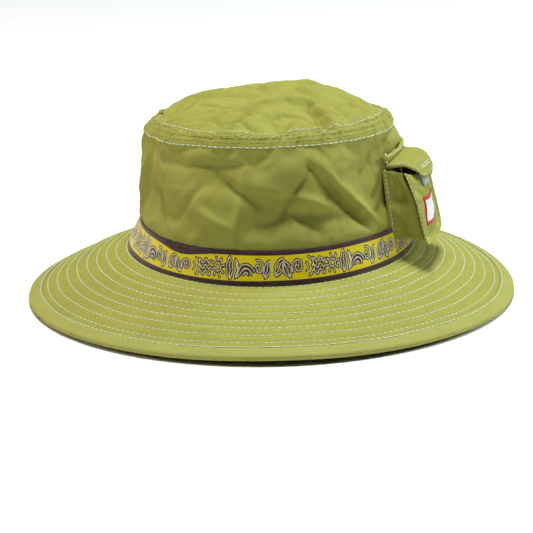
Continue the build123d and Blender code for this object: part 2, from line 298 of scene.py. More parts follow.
def object_noise(nodes, links, scale, detail):
    """Noise on the piece's own Object coordinates."""
    place = add(nodes, "ShaderNodeTexCoord")
    noise = add(nodes, "ShaderNodeTexNoise", in_2=scale, in_3=detail)
    links.new(place.outputs["Object"], noise.inputs[0])
    return noise.outputs[0]


def emboss(nodes, links, shader, height, strength, distance):
    """Bump on the shader from a height."""
    relief = add(nodes, "ShaderNodeBump", in_0=strength, in_1=distance)
    links.new(height, relief.inputs["Height"])
    links.new(relief.outputs[0], shader.inputs["Normal"])


thread_scale = 0.45 * mm
print("threads", thread_scale / mm, "mm apart")

# %% A woven cloth


def woven_material(name, colour, dark, pitch=thread_scale, depth=0.5, sheen=0.15):
    """Plain weave of one colour, with uneven threads of a darker one and paler worn patches."""
    material, nodes, links, shader = new_material(name, 0.85, sheen)
    shader.inputs["Sheen Tint"].default_value = (*colour, 1)
    threads = add(nodes, "ShaderNodeMath", operation="ADD")
    links.new(thread_noise(nodes, links, 9 * mm, 0.7 * mm, 2.0), threads.inputs[0])
    links.new(thread_noise(nodes, links, 0.7 * mm, 9 * mm, 2.0), threads.inputs[1])
    spread = ramp(nodes, links, threads.outputs[0], 0.75, 1.3, 0.0, 0.55)
    patches = ramp(nodes, links, object_noise(nodes, links, 28.0, 3.0), 0.35, 0.65, 0.0, 0.2)
    woven = mix_colour(nodes, links, spread, (*colour, 1), (*dark, 1))
    faded = mix_colour(nodes, links, patches, woven, (*[min(1, c * 1.25) for c in colour], 1))
    links.new(faded, shader.inputs["Base Color"])
    weave = add(nodes, "ShaderNodeTexChecker", in_3=1.0)
    links.new(cloth_place(nodes, links, (1 / pitch, 1 / pitch, 1)), weave.inputs[0])
    height = add(nodes, "ShaderNodeMath", operation="MULTIPLY_ADD", in_1=0.35)
    links.new(weave.outputs[1], height.inputs[0])
    links.new(threads.outputs[0], height.inputs[2])
    emboss(nodes, links, shader, height.outputs[0], depth, 0.12 * mm)
    print(name, "nodes", len(nodes))
    return material


# %% The hat's finishes
shell_cloth = woven_material("shell_cloth", (0.375, 0.372, 0.096), (0.275, 0.265, 0.05))
edge_cloth = woven_material("edge_cloth", (0.40, 0.40, 0.125), (0.31, 0.305, 0.07))
lining_cloth = woven_material("lining_cloth", (0.33, 0.37, 0.10), (0.25, 0.28, 0.06))
tape_cloth = woven_material("tape_cloth", (0.26, 0.29, 0.10), (0.18, 0.2, 0.06), pitch=0.8 * mm)
band_cloth = woven_material("band_cloth", (0.20, 0.23, 0.09), (0.14, 0.16, 0.06), pitch=0.7 * mm, sheen=0.4)
stiff_cloth = woven_material("stiff_cloth", (0.72, 0.72, 0.66), (0.6, 0.6, 0.55), pitch=1.2 * mm)
label_cloth = woven_material("label_cloth", (0.80, 0.80, 0.82), (0.62, 0.62, 0.68), pitch=0.35 * mm)
hook_cloth = woven_material("hook_cloth", (0.50, 0.51, 0.46), (0.3, 0.3, 0.28), pitch=1.3 * mm, depth=1.0)
print("cloths", len(bpy.data.materials))

# %% Threads


def thread_material(name, colour):
    """Twisted sewing thread, a little glossy."""
    material, nodes, links, shader = new_material(name, 0.55, 0.3)
    twist = object_noise(nodes, links, 900.0, 1.0)
    tone = mix_colour(nodes, links, twist, (*colour, 1), (*[c * 0.72 for c in colour], 1))
    links.new(tone, shader.inputs["Base Color"])
    return material


light_thread = thread_material("light_thread", (0.78, 0.84, 0.66))
green_thread = thread_material("green_thread", (0.35, 0.345, 0.085))
brown_thread = thread_material("brown_thread", (0.10, 0.045, 0.05))
print("materials", len(bpy.data.materials))

# %% [markdown]
# ## Stitches
# A sewn row is one thread that dips into the cloth again and again. Geometry Nodes put a small bead of
# thread at even steps along each sewing line and turn it along the line. The beads are made real at the end,
# so that the piece can leave Blender as a plain mesh.

# %% A node tree that sews along lines


def stitch_tree():
    """Geometry Nodes tree: line edges in, stitches out. Inputs: pitch, length and thickness."""
    tree = bpy.data.node_groups.new("sew_along_lines", "GeometryNodeTree")
    tree.interface.new_socket("Geometry", in_out="INPUT", socket_type="NodeSocketGeometry")
    for name in ("Pitch", "Stitch length", "Thickness"):
        tree.interface.new_socket(name, in_out="INPUT", socket_type="NodeSocketFloat")
    tree.interface.new_socket("Thread", in_out="INPUT", socket_type="NodeSocketMaterial")
    tree.interface.new_socket("Geometry", in_out="OUTPUT", socket_type="NodeSocketGeometry")
    nodes, links = tree.nodes, tree.links
    inputs, output = nodes.new("NodeGroupInput"), nodes.new("NodeGroupOutput")
    curve = nodes.new("GeometryNodeMeshToCurve")
    steps = add(nodes, "GeometryNodeResampleCurve", mode="LENGTH")
    bead = add(nodes, "GeometryNodeMeshUVSphere")
    bead.inputs["Segments"].default_value = 6
    bead.inputs["Rings"].default_value = 5
    bead.inputs["Radius"].default_value = 0.5
    size = nodes.new("ShaderNodeCombineXYZ")
    place = nodes.new("GeometryNodeInstanceOnPoints")
    tangent = nodes.new("GeometryNodeInputTangent")
    align = add(nodes, "FunctionNodeAlignRotationToVector", axis="Z")
    real = nodes.new("GeometryNodeRealizeInstances")
    smooth = nodes.new("GeometryNodeSetShadeSmooth")
    finish = nodes.new("GeometryNodeSetMaterial")
    links.new(inputs.outputs["Geometry"], curve.inputs[0])
    links.new(curve.outputs[0], steps.inputs["Curve"])
    links.new(inputs.outputs["Pitch"], steps.inputs["Length"])
    links.new(steps.outputs[0], place.inputs["Points"])
    links.new(bead.outputs[0], place.inputs["Instance"])
    links.new(tangent.outputs[0], align.inputs["Vector"])
    links.new(align.outputs[0], place.inputs["Rotation"])
    links.new(inputs.outputs["Thickness"], size.inputs[0])
    links.new(inputs.outputs["Thickness"], size.inputs[1])
    links.new(inputs.outputs["Stitch length"], size.inputs[2])
    links.new(size.outputs[0], place.inputs["Scale"])
    links.new(place.outputs[0], real.inputs[0])
    links.new(real.outputs[0], smooth.inputs[0])
    links.new(smooth.outputs[0], finish.inputs[0])
    links.new(inputs.outputs["Thread"], finish.inputs["Material"])
    links.new(finish.outputs[0], output.inputs[0])
    return tree


sewing = stitch_tree()
print("sewing tree", len(sewing.nodes), "nodes")

# %% Sew and dress a piece
long_stitch = {"Pitch": 3.9 * mm, "Stitch length": 3.3 * mm, "Thickness": 0.75 * mm}
fine_long_stitch = {**long_stitch, "Thickness": 0.6 * mm}
short_stitch = {"Pitch": 2.6 * mm, "Stitch length": 2.2 * mm, "Thickness": 0.6 * mm}
faces_per_stitch = 30


def place_piece(piece, nodes):
    """Hides the model's nodes that the piece stands for."""
    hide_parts(*nodes)
    print(piece.name, "faces", len(piece.data.polygons))
    return piece


def dress(piece, body, nodes, material):
    """Gives a finished piece its material and body, and hides the model's nodes that it stands for."""
    if not piece.data.materials:
        piece.data.materials.append(material)
    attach(piece, body)
    return place_piece(piece, nodes)


def sew(name, lines, thread, body, node, stitch=long_stitch):
    """Rows of stitches. lines is a list of (points, closed)."""
    points, edges = [], []
    for line, closed in lines:
        start, count = len(points), len(line)
        points += [tuple(p) for p in line]
        edges += [(start + i, start + i + 1) for i in range(count - 1)]
        if closed:
            edges.append((start + count - 1, start))
    mesh = bpy.data.meshes.new(name + "_lines")
    mesh.from_pydata(points, edges, [])
    lines_object = bpy.data.objects.new(name + "_lines", mesh)
    bpy.context.scene.collection.objects.link(lines_object)
    modifier = lines_object.modifiers.new("sewing", "NODES")
    modifier.node_group = sewing
    sockets = {s.name: s.identifier for s in sewing.interface.items_tree if s.in_out == "INPUT"}
    for key, value in {**stitch, "Thread": thread}.items():
        modifier[sockets[key]] = value
    ready = lines_object.evaluated_get(bpy.context.evaluated_depsgraph_get())
    made = bpy.data.objects.new(name, bpy.data.meshes.new_from_object(ready))
    bpy.data.objects.remove(lines_object)
    bpy.context.scene.collection.objects.link(made)
    print(name, "stitches", len(made.data.polygons) // faces_per_stitch)
    return dress(made, body, [node], thread)


print("stitches are", short_stitch["Stitch length"] / mm, "or", long_stitch["Stitch length"] / mm, "mm long")

# %% [markdown]
# ## The brim's shape
# The brim falls away from the crown as a shallow cone. Lying on a table it waves: it lifts at the front and
# back and higher at the wearer's back left. Rows of stitching pull it into shallow grooves, and the
# cloth between two rows gathers into short puckers across them, strongest at the hat's two sides.

# %% Where the brim's rows run
first_row, last_row, row_count = 8.0 * mm, 50.8 * mm, 8
seam_row = 1.6 * mm
binding_inner = brim_reach - 8.0 * mm
binding_row = binding_inner + 1.0 * mm
brim_rows = [seam_row] + [first_row + (last_row - first_row) * i / (row_count - 1) for i in range(row_count)]
sewn_rows = brim_rows + [binding_row]
slope_angle = math.atan(brim_drop / (brim_reach + 2 * mm))
groove_depth, groove_width = 0.38 * mm, 1.0 * mm
pucker_girth = 2 * math.pi * (half_width + 30 * mm)
pucker_cells = int(pucker_girth / (3.6 * mm))
print("rows at", [round(r * 1000, 1) for r in sewn_rows], "with", pucker_cells, "puckers round")

# %% How the hat lies and leans


def foot_dip(angle):
    """How far the crown's foot sinks at the wearer's forehead."""
    return -2.2 * mm * bump(away_from(angle, -math.pi / 2 - 0.15), 0, 0.95)


def wall_dip(angle, z):
    """The foot's sinking fades out up the wall."""
    return foot_dip(angle) * np.clip(1 - (z - foot_z) / (48 * mm), 0, 1)


def crown_lean(x, y):
    """How far the crown's top is lifted at a place, x and y running from -1 to 1: it leans back a little."""
    return (0.6 * x - 4.0 + 5.4 * np.clip(-y, 0, 1) - 2.4 * np.clip(y, 0, 1)) * mm


def side_lean(angle, z):
    """How far the wall leans in at the wearer's right, above the brim."""
    rise = np.clip((z - foot_z) / (17 * mm), 0, 1) * np.clip((wall_top_z - z) / (45 * mm), 0, 1) ** 0.8
    return 6.5 * mm * bump(away_from(angle, math.pi), 0, 0.6) * rise


def brim_wave(angle, out):
    """How far the brim is lifted from its plain cone."""
    share = np.clip(out / brim_reach, 0, 1.1)
    saddle = 1.3 * mm * (1 - np.cos(2 * angle))
    back_left = 4.0 * mm * bump(away_from(angle, 0.75), 0, 0.55)
    ripples = 0.5 * mm * smooth_noise(angle / (2 * math.pi), share * 2 + 3, 16, 5)
    ripples += 0.35 * mm * smooth_noise(angle / (2 * math.pi), share * 4 + 9, 31, 6)
    hang = 1.6 * mm * np.sin(math.pi * np.clip(share, 0, 1))
    ripples = ripples * np.sin(math.pi * np.clip(share * 0.85, 0, 1))
    return (saddle + back_left) * share**1.6 + ripples + hang + foot_dip(angle) * (1 - share) + 0.2 * mm * share


quarters = np.arange(4) * math.pi / 2
print("rim lifted, in mm, at left, back, right and front:", np.round(brim_wave(quarters, brim_reach) / mm, 1))

# %% Points of the brim


def brim_relief(angle, out):
    """Grooves at the rows and puckers between them, along the cloth's normal."""
    u = angle / (2 * math.pi)
    relief = np.zeros_like(angle)
    for row in sewn_rows:
        relief -= groove_depth * bump(out, row, groove_width)
    for i, (low, high) in enumerate(zip(sewn_rows, sewn_rows[1:])):
        t = np.clip((out - low) / (high - low), 0, 1)
        swell = np.sin(math.pi * t)
        fine = smooth_noise(u + 0.3 * (i % 2) / pucker_cells, 0.9 * t + 3 * i, pucker_cells, 20 + i)
        sides = 0.35 + 0.65 * np.abs(np.cos(angle)) ** 1.5
        patch = 0.6 + 0.4 * smooth_noise(u, 0 * t + 2 * i, 23, 50 + i)
        relief += swell * (0.15 * mm + 0.20 * mm * sides * patch * fine)
    return relief


def brim_point(angle, out, lift, relief=True):
    """Points of the brim at an angle and a level distance from the crown, lift above its upper face."""
    z = foot_z - out * math.tan(slope_angle) + brim_wave(angle, out)
    height = lift + (brim_relief(angle, out) if relief else 0)
    normal = outward_at(angle) * math.sin(slope_angle) + np.array([0, 0, math.cos(slope_angle)])
    return oval_point(angle, -out, z) + normal * np.asarray(height)[..., None]


print("the brim slopes", round(math.degrees(slope_angle), 1), "degrees")


# %% [markdown]
# ## The brim's plies
# Two plies of the shell cloth hold a stiff one between them. Each is a closed ring: a fine face where it is
# seen, with every groove and pucker, and a coarse face where it lies on the next ply.

# %% Cut the brim's plies


def brim_ply(name, top, bottom, inner, outer, round_count, fine_side):
    """Ring between two lifts. fine_side is 'top', 'bottom' or None for a hidden ply."""
    angle = turn_of(round_count)
    step = 1.15 * mm
    fine = np.linspace(inner, outer, int((outer - inner) / step) + 1)
    coarse = np.linspace(inner, outer, 9)
    tops = fine if fine_side == "top" else coarse
    bottoms = fine if fine_side == "bottom" else coarse
    rings = []
    for out in tops:
        rings.append(brim_point(angle, np.full_like(angle, out), top, fine_side == "top"))
    for out in bottoms[::-1]:
        relief = np.full_like(angle, bottom)
        if fine_side == "bottom":
            relief -= brim_relief(angle, np.full_like(angle, out))
        rings.append(brim_point(angle, np.full_like(angle, out), relief, False))
    uv = [ring[:, :2] for ring in rings]
    return ring_solid(name, rings[::-1], uv[::-1])


ply_ends = -1.4 * mm, binding_inner + 1.5 * mm
brim_top = brim_ply("brim_upper_cloth", 0, -0.9 * mm, *ply_ends, 900, "top")
dress(brim_top, HAT, ["brim_upper"], shell_cloth)
brim_core = brim_ply("brim_stiff_ply", -1.0 * mm, -1.7 * mm, *ply_ends, 180, None)
dress(brim_core, HAT, ["brim_interlining"], stiff_cloth)
brim_below = brim_ply("brim_under_cloth", -1.8 * mm, -brim_stack, *ply_ends, 720, "bottom")
dress(brim_below, HAT, ["brim_under"], lining_cloth)

# %% [markdown]
# ## The binding
# A strip of the same cloth, cut on the bias, is folded over the brim's edge. It is smooth and rounded, stands
# a little above the plies, and its inner edges show as a fine step. Its section is a drawn hairpin shape.

# %% Fold the binding over the edge


def binding():
    """Strip folded over the edge, as a hairpin section taken round the brim."""
    angle = turn_of(900)
    edge = brim_reach + 0.3 * mm
    cloth = 0.6 * mm
    flat_steps = [binding_inner + 1.0 * mm + 0.95 * mm * i for i in range(7)]
    section = [(binding_inner, 0.02 * mm), (binding_inner - 0.1 * mm, 0.5 * mm)]
    section += [(binding_inner + 0.4 * mm, 0.68 * mm)] + [(out, 0.62 * mm) for out in flat_steps]
    middle, radius = -brim_stack / 2, brim_stack / 2 + cloth
    for i in range(9):
        a = math.pi / 2 - math.pi * i / 8
        section.append((edge - 0.8 * mm + 1.35 * mm * math.cos(a), middle + radius * math.sin(a)))
    section += [(out, -brim_stack - 0.62 * mm) for out in flat_steps[::-1]]
    section += [(binding_inner + 0.2 * mm, -brim_stack - 0.55 * mm), (binding_inner, -brim_stack - 0.05 * mm)]
    rings = []
    for out, lift in section:
        waver = smooth_noise(angle / (2 * math.pi), np.full_like(angle, out / mm * 0.4), 120, 71) * 0.07 * mm
        dip = -0.3 * mm * bump(out, binding_row, 0.8 * mm) * np.sign(lift + brim_stack / 2)
        rings.append(brim_point(angle, np.full_like(angle, out), lift + waver + dip, False))
    along = angle * (half_width + brim_reach)
    uv = [np.stack([along, np.full_like(angle, i * 0.9 * mm)], -1) for i in range(len(rings))]
    return ring_solid("brim_binding_cloth", rings[::-1], uv[::-1])


dress(binding(), HAT, ["brim_binding"], edge_cloth)

# %% Sew the brim


def brim_line(out, lift, relief=True):
    """Closed sewing line round the brim, never quite even."""
    angle = turn_of(420)
    wobble = 0.25 * mm * smooth_noise(angle / (2 * math.pi), np.full_like(angle, out / mm), 40, 81)
    return brim_point(angle, out + wobble, lift, relief), True


top_lines = [brim_line(row, 0.12 * mm) for row in brim_rows] + [brim_line(binding_row, 0.55 * mm, False)]
sew("brim_top_stitches", top_lines, light_thread, HAT, "brim_topstitching")
under_lines = [brim_line(row, -brim_stack - 0.02 * mm, False) for row in brim_rows]
under_lines.append(brim_line(binding_row, -brim_stack - 0.5 * mm, False))
sew("brim_under_stitches", under_lines, light_thread, HAT, "brim_understitching")

# %% [markdown]
# ## The crown as one cloth
# The crown is soft cotton held only at its foot and by the stiff seam round its top, so it creases all over.
# Folds placed one by one alone look drawn. Here the whole crown is one even net of squares, wall, shoulder and
# top together, pushed gently where the large folds are, and then a cloth simulation with a few percent
# too much fabric lets it buckle by itself. The top's net is a square grid pressed into an oval, so that no
# crowded point is left in the middle.

# %% Lay out the crown's net
side = 72
columns = 4 * side
crown_angle = -math.pi / 4 + np.arange(columns) * 2 * math.pi / columns
wall_rings = 36
profile = [(wall_inset * t, foot_z + (wall_top_z - foot_z) * t) for t in np.linspace(0, 1, wall_rings)]
for t in (0.25, 0.5, 0.75, 1):
    profile.append((wall_inset + (seam_inset - wall_inset) * t, wall_top_z + shoulder_height * t**0.8))
for t in (0.33, 0.67):
    profile.append((seam_inset + (panel_inset - seam_inset) * t, seam_z + (panel_z - seam_z) * t))
print("net", columns, "columns,", len(profile), "rings and a top of", side, "squares")

# %% Points and faces of the net


def wall_share(z):
    """0 at the crown's foot and 1 at its seam."""
    return (z - foot_z) / (seam_z - foot_z)


def leaned_point(angle, inset, z):
    """Place on the plain crown at an angle, with the crown's lean."""
    lean = crown_lean(np.cos(angle), np.sin(angle)) * wall_share(z) ** 2
    return oval_point(angle, inset, z + lean)


def top_grid():
    """The top panel's points: a square grid pressed into the oval inside the last ring."""
    step = math.sqrt(2) * np.sin(np.linspace(-math.pi / 4, math.pi / 4, side + 1))
    u, v = np.meshgrid(step, step, indexing="ij")
    x, y = u * np.sqrt(1 - v**2 / 2), v * np.sqrt(1 - u**2 / 2)
    radius = np.sqrt(x**2 + y**2)
    off_centre = np.hypot(x - 0.36 * (1 - radius), y - 0.05 * (1 - radius))
    z = panel_z + dome_rise * (1 - off_centre**1.5) + crown_lean(x, y) * radius**2
    points = np.stack([(half_width - panel_inset) * x, (half_length - panel_inset) * y, z], -1)
    return points.reshape(-1, 3)


def top_border():
    """Grid indices round the top panel's edge, in step with the crown's columns."""
    n = side + 1
    right = [side * n + j for j in range(side)]
    back = [(side - i) * n + side for i in range(side)]
    left = [side - j for j in range(side)]
    front = [i * n for i in range(side)]
    return right + back + left + front


rings_xyz = np.concatenate([leaned_point(crown_angle, inset, z) for inset, z in profile])
crown_points = np.concatenate([rings_xyz, top_grid()])
grid_start = len(rings_xyz)
border = [grid_start + i for i in top_border()]
crown_faces = strip_faces(len(profile), columns, True, False)
last = (len(profile) - 1) * columns
for c in range(columns):
    d = (c + 1) % columns
    crown_faces.append((last + c, last + d, border[d], border[c]))
for i in range(side):
    for j in range(side):
        a = grid_start + i * (side + 1) + j
        crown_faces.append((a, a + side + 1, a + side + 2, a + 1))
print("points", len(crown_points), "faces", len(crown_faces))

# %% [markdown]
# ## Large folds
# Each large fold is a soft groove or ridge between two places on the wall or the top. The cloth is pushed
# along these before it is let go, so the buckles settle where a worn hat of this cut has them.

# %% Where the large folds are
wall_folds = [  # angle and height of both ends in degrees and mm, depth in mm (in is negative), width in mm
    (-140, 95, -96, 98, -2.4, 5),
    (-112, 90, -96, 76, -3.4, 6),
    (-100, 96, -106, 44, 1.8, 7),
    (-74, 96, -42, 48, -4.6, 4),
    (-67, 93, -36, 50, 3.2, 5),
    (-73, 94, -86, 70, -3.0, 4),
    (-80, 70, -62, 66, -2.8, 4),
    (-64, 72, -78, 80, 2.6, 4),
    (-146, 76, -133, 42, -2.6, 6),
    (-138, 60, -124, 46, 2.4, 6),
    (-120, 72, -107, 64, 2.6, 9),
    (-98, 62, -84, 68, -2.4, 6),
    (-84, 72, -70, 60, -2.6, 5),
    (-96, 88, -76, 78, 2.4, 7),
    (-172, 70, -160, 96, 3.0, 10),
    (-165, 46, -150, 60, -2.4, 7),
    (178, 90, 165, 60, -3.0, 8),
    (150, 60, 128, 84, -3.2, 8),
    (140, 96, 112, 92, -2.4, 6),
    (118, 50, 96, 74, -3.2, 7),
    (104, 84, 80, 62, 2.6, 8),
    (84, 96, 58, 82, -3.0, 7),
    (72, 66, 48, 48, -3.0, 7),
    (52, 88, 34, 64, 2.4, 7),
    (30, 98, 14, 92, -2.0, 5),
]
top_folds = [  # both ends in mm from the middle, depth in mm, width in mm
    (-36, -80, -12, -46, -4.2, 4),
    (-26, -78, -4, -50, 2.4, 5),
    (0, -84, -18, -62, -3.4, 3),
    (4, -84, 12, -54, -3.0, 4),
    (34, -74, 24, -36, -4.0, 4),
    (40, -70, 30, -40, 2.4, 4),
    (-12, -34, 34, -30, 3.2, 5),
    (22, -40, 40, -54, -2.6, 5),
    (-48, -30, -30, -8, 2.2, 7),
    (-10, -18, 28, 4, -2.6, 9),
    (-40, 20, -6, 34, -2.4, 7),
    (12, 30, 46, 20, 2.4, 8),
    (-20, 52, 16, 66, -2.4, 6),
    (34, 50, 52, 30, -2.4, 5),
    (-56, 6, -44, 30, -2.2, 5),
]
degree_length = (half_width + half_length) / 2 / mm * math.pi / 180
print("folds on the wall", len(wall_folds), "and on the top", len(top_folds))

# %% Reliefs of folds and creases


def along_segment(px, py, ax, ay, bx, by, width):
    """Soft weight, 1 on the line from a to b and fading with distance, tapering at its ends."""
    dx, dy = bx - ax, by - ay
    t = np.clip(((px - ax) * dx + (py - ay) * dy) / (dx * dx + dy * dy), 0, 1)
    away = np.hypot(px - ax - t * dx, py - ay - t * dy)
    sharp = (np.sqrt(away**2 + 0.8) - 0.9) / (0.8 * width)
    return np.exp(-np.clip(sharp, 0, None)) * (0.45 + 0.55 * np.sin(math.pi * np.clip(t, 0.05, 0.95)))


def creases(u, v, cells, seed, wrap=True):
    """Sharp valleys with softly rounded fields between them, -1 to 0.5."""
    field = np.abs(smooth_noise(u, v, cells, seed, wrap))
    return 0.5 - 1.5 * np.exp(-field / 0.22)


def wall_fold_relief(degrees, height, narrowing=1.0):
    """The wall's large folds in mm, at angles in degrees and heights in mm."""
    relief = np.zeros(len(degrees))
    for a0, z0, a1, z1, depth, width in wall_folds:
        along = half_turn(degrees - a0) * degree_length
        end = half_turn(a1 - a0) * degree_length
        relief += depth * along_segment(along, height, 0, z0, end, z1, narrowing * width)
    return relief


def top_fold_relief(x, y, narrowing=1.0):
    """The top's large folds in mm, at places in mm."""
    relief = np.zeros(len(x))
    for ax, ay, bx, by, depth, width in top_folds:
        relief += depth * along_segment(x, y, ax, ay, bx, by, narrowing * width)
    return relief


print("deepest fold", min(fold[4] for fold in wall_folds + top_folds), "mm")

# %% Push the large folds


def push_folds(points):
    """The net's points moved by the large folds, the small creases and the wall's own slackness."""
    moved = points.copy()
    wall = slice(0, grid_start)
    angle = np.degrees(np.arctan2(points[wall, 1] / half_length, points[wall, 0] / half_width))
    height = points[wall, 2] / mm
    inward = wall_fold_relief(angle, height)
    u = (np.radians(angle) / (2 * math.pi)) % 1
    slope = u + height * 0.0009
    inward += 1.5 * smooth_noise(u, height / 16, 26, 11) + 0.8 * creases(slope, height / 22, 17, 12)
    inward += 0.5 * creases(u - height * 0.0012, height / 12, 36, 14)
    share = wall_share(points[wall, 2])
    hold = np.clip((share - 0.26) / 0.14, 0, 1) * np.clip((1.04 - share) / 0.12, 0, 1)
    belly = -0.8 - 2.4 * bump(angle, -38, 16) - 2.0 * bump(np.abs(angle), 176, 28)
    moved[wall] += outward_at(np.radians(angle)) * ((inward + belly) * hold * mm)[:, None]
    top = slice(grid_start, None)
    x, y = points[top, 0] / mm, points[top, 1] / mm
    rise = top_fold_relief(x, y)
    rise += 1.2 * smooth_noise((x + 90) / 180, (y + 100) / 18, 10, 13, False)
    rise += 2.0 * creases((x + 0.4 * y + 130) / 260, (y - 0.3 * x + 130) / 22, 11, 15, False)
    rim = np.hypot(x / (half_width - panel_inset), y / (half_length - panel_inset)) * mm
    moved[top, 2] += rise * np.clip((1 - rim) / 0.12, 0, 1) * mm
    return moved


pushed = push_folds(crown_points)
crown_net = new_object("crown_net", pushed, crown_faces)
print("pushed by up to", round(float(np.abs(pushed - crown_points).max()) / mm, 2), "mm")

# %% [markdown]
# ## Let the cloth go
# The foot is held fast under the band, the seam is held softly, and the rest is free. A negative shrink gives
# the cloth a little more fabric than the shape needs. A very light push from inside keeps the crown from
# sinking.

# %% Simulate the crown's cloth
held_height, shoulder_grip, border_grip = 20 * mm, 0.3, 0.12
cloth_frames, spare_cloth, move_limit = 26, 0.035, 5 * mm


def held_weights():
    """How firmly each point is held: fast at the foot, softly on the shoulder and the top's border."""
    weights = np.zeros(len(crown_points))
    for r, (_, z) in enumerate(profile):
        if r >= wall_rings - 1:
            grip = shoulder_grip
        else:
            grip = 1.0 if z < foot_z + held_height else 0.0
        weights[r * columns:(r + 1) * columns] = grip
    weights[border] = border_grip
    return weights


def let_go(net, frames, spare):
    """The net's points after the cloth has settled for some frames."""
    group = net.vertex_groups.new(name="held")
    for i, weight in enumerate(held_weights()):
        if weight > 0:
            group.add([i], float(weight), "REPLACE")
    cloth = net.modifiers.new("cloth", "CLOTH")
    settings = cloth.settings
    settings.quality = 6
    settings.mass = 0.15
    settings.tension_stiffness = settings.compression_stiffness = 18
    settings.shear_stiffness = 8
    settings.bending_stiffness = 0.35
    settings.tension_damping = settings.compression_damping = 12
    settings.air_damping = 3
    settings.vertex_group_mass = "held"
    settings.pin_stiffness = 0.6
    settings.shrink_min = -spare
    settings.use_pressure = True
    settings.uniform_pressure_force = 0.1
    settings.effector_weights.gravity = 0.0
    cloth.collision_settings.use_collision = False
    scene = bpy.context.scene
    for frame_number in range(1, frames + 1):
        scene.frame_set(frame_number)
    ready = net.evaluated_get(bpy.context.evaluated_depsgraph_get())
    result = np.zeros(len(net.data.vertices) * 3)
    ready.data.vertices.foreach_get("co", result)
    net.modifiers.remove(cloth)
    scene.frame_set(1)
    return result.reshape(-1, 3)


def capped(points, start, limit):
    """Points no further than limit from where they started."""
    move = points - start
    length = np.linalg.norm(move, axis=1, keepdims=True)
    return start + move * np.minimum(1, limit / np.maximum(length, 1e-9))


settled = capped(let_go(crown_net, cloth_frames, spare_cloth), pushed, move_limit)
bpy.data.objects.remove(crown_net)
print("largest move", round(float(np.abs(settled - pushed).max()) * 1000, 2), "mm")

# %% [markdown]
# ## Seam puckers
# Sewn cloth gathers beside its stitches. On the shoulder, short gathers cross the band between the rows, and
# each row lies in a fine groove. They are too small for the simulation's net, so they are pressed in after
# the net has been divided once.

# %% Divide the net and press the puckers


def divide(points, faces):
    """Points, normals and quads of a net after one smooth subdivision."""
    mesh = bpy.data.meshes.new("divided")
    mesh.from_pydata([tuple(p) for p in points], [], faces)
    holder = bpy.data.objects.new("divided", mesh)
    bpy.context.scene.collection.objects.link(holder)
    subdivide = holder.modifiers.new("subdivide", "SUBSURF")
    subdivide.levels = subdivide.render_levels = 1
    ready = holder.evaluated_get(bpy.context.evaluated_depsgraph_get())
    fine = bpy.data.meshes.new_from_object(ready)
    bpy.data.objects.remove(holder)
    co = np.zeros(len(fine.vertices) * 3)
    fine.vertices.foreach_get("co", co)
    normals = np.zeros(len(fine.vertices) * 3)
    fine.vertex_normals.foreach_get("vector", normals)
    quads = [tuple(p.vertices) for p in fine.polygons]
    return co.reshape(-1, 3), normals.reshape(-1, 3), quads


fine_points, fine_normals, fine_quads = divide(settled, crown_faces)
plain_points = divide(crown_points, crown_faces)[0]
print("fine net", len(fine_points), "points")

# %% Where each point is on the plain crown


def ring_place(points):
    """Each plain point's inset from the foot's oval, its angle, and its height without the lean."""
    x, y = points[:, 0], points[:, 1]
    share = np.clip(wall_share(points[:, 2]), 0, 1)
    z = points[:, 2] - crown_lean(x / half_width, y / half_length) * share**2
    angle = np.arctan2(y / half_length, x / half_width)
    inset = np.zeros(len(x))
    for _ in range(4):
        inset += (1 - np.hypot(x / (half_width - inset), y / (half_length - inset))) * (half_width - inset)
        inset = np.minimum(inset, 0.7 * half_width)
    return inset, angle, z


inset_at, angle_at, z_at = ring_place(plain_points)
print("insets up to", round(float(inset_at.max()) / mm, 1), "mm")

# %% Press the puckers
band_low, band_high = wall_inset - 0.6 * mm, panel_inset + 1.6 * mm


def pucker_relief():
    """Relief of the fine net along its normals: gathers, grooves, crinkles and the folds' sharp edges."""
    u = (angle_at / (2 * math.pi)) % 1
    on_wall = z_at < wall_top_z - 1.5 * mm
    across = np.clip((inset_at - band_low) / (band_high - band_low), 0, 1)
    across = np.where(on_wall, 0, across)
    inside = np.sin(math.pi * across) ** 0.6
    gather = smooth_noise(u, across * 1.1, 96, 31) * 0.8 * mm + smooth_noise(u, across * 2, 190, 32) * 0.35 * mm
    relief = inside * gather
    for place in (0.30, 0.52, 0.74):
        relief -= 0.22 * mm * bump(across, place, 0.05) * (across > 0)
    above_band = np.clip((z_at - foot_z - 19 * mm) / (5 * mm), 0, 1)
    foot = above_band * np.clip((foot_z + 30 * mm - z_at) / (12 * mm), 0, 1)
    relief += foot * smooth_noise(u, z_at / (9 * mm), 90, 33) * 0.5 * mm
    below = bump(z_at, wall_top_z - 4 * mm, 3 * mm)
    relief += below * smooth_noise(u, 0 * u + 4, 105, 34) * 0.35 * mm
    x, y = plain_points[:, 0] / mm, plain_points[:, 1] / mm
    crinkle = smooth_noise((x + y + 300) / 600, (z_at / mm + x - y + 400) / 5, 120, 35, False) * 0.16 * mm
    free = np.clip((z_at - foot_z - 20 * mm) / (10 * mm), 0, 1)
    wall_creases = creases(u + z_at * 0.4, z_at / (9 * mm), 48, 36) * 0.22 * mm * on_wall
    top_creases = creases((x + 0.5 * y + 150) / 300, (y - 0.4 * x + 150) / 11, 22, 37, False) * 0.5 * mm
    fine_creases = wall_creases + top_creases * (z_at > seam_z)
    near_seam = bump(inset_at, panel_inset, 6 * mm) * (z_at > wall_top_z)
    waver = near_seam * smooth_noise(u, 0 * u + 7, 13, 38) * 1.0 * mm
    sharp = 0.4 * wall_fold_relief(np.degrees(angle_at), z_at / mm, 0.3) * on_wall
    sharp += 0.4 * top_fold_relief(x, y, 0.35) * ~on_wall
    return relief + crinkle + fine_creases * free + waver + sharp * free * mm


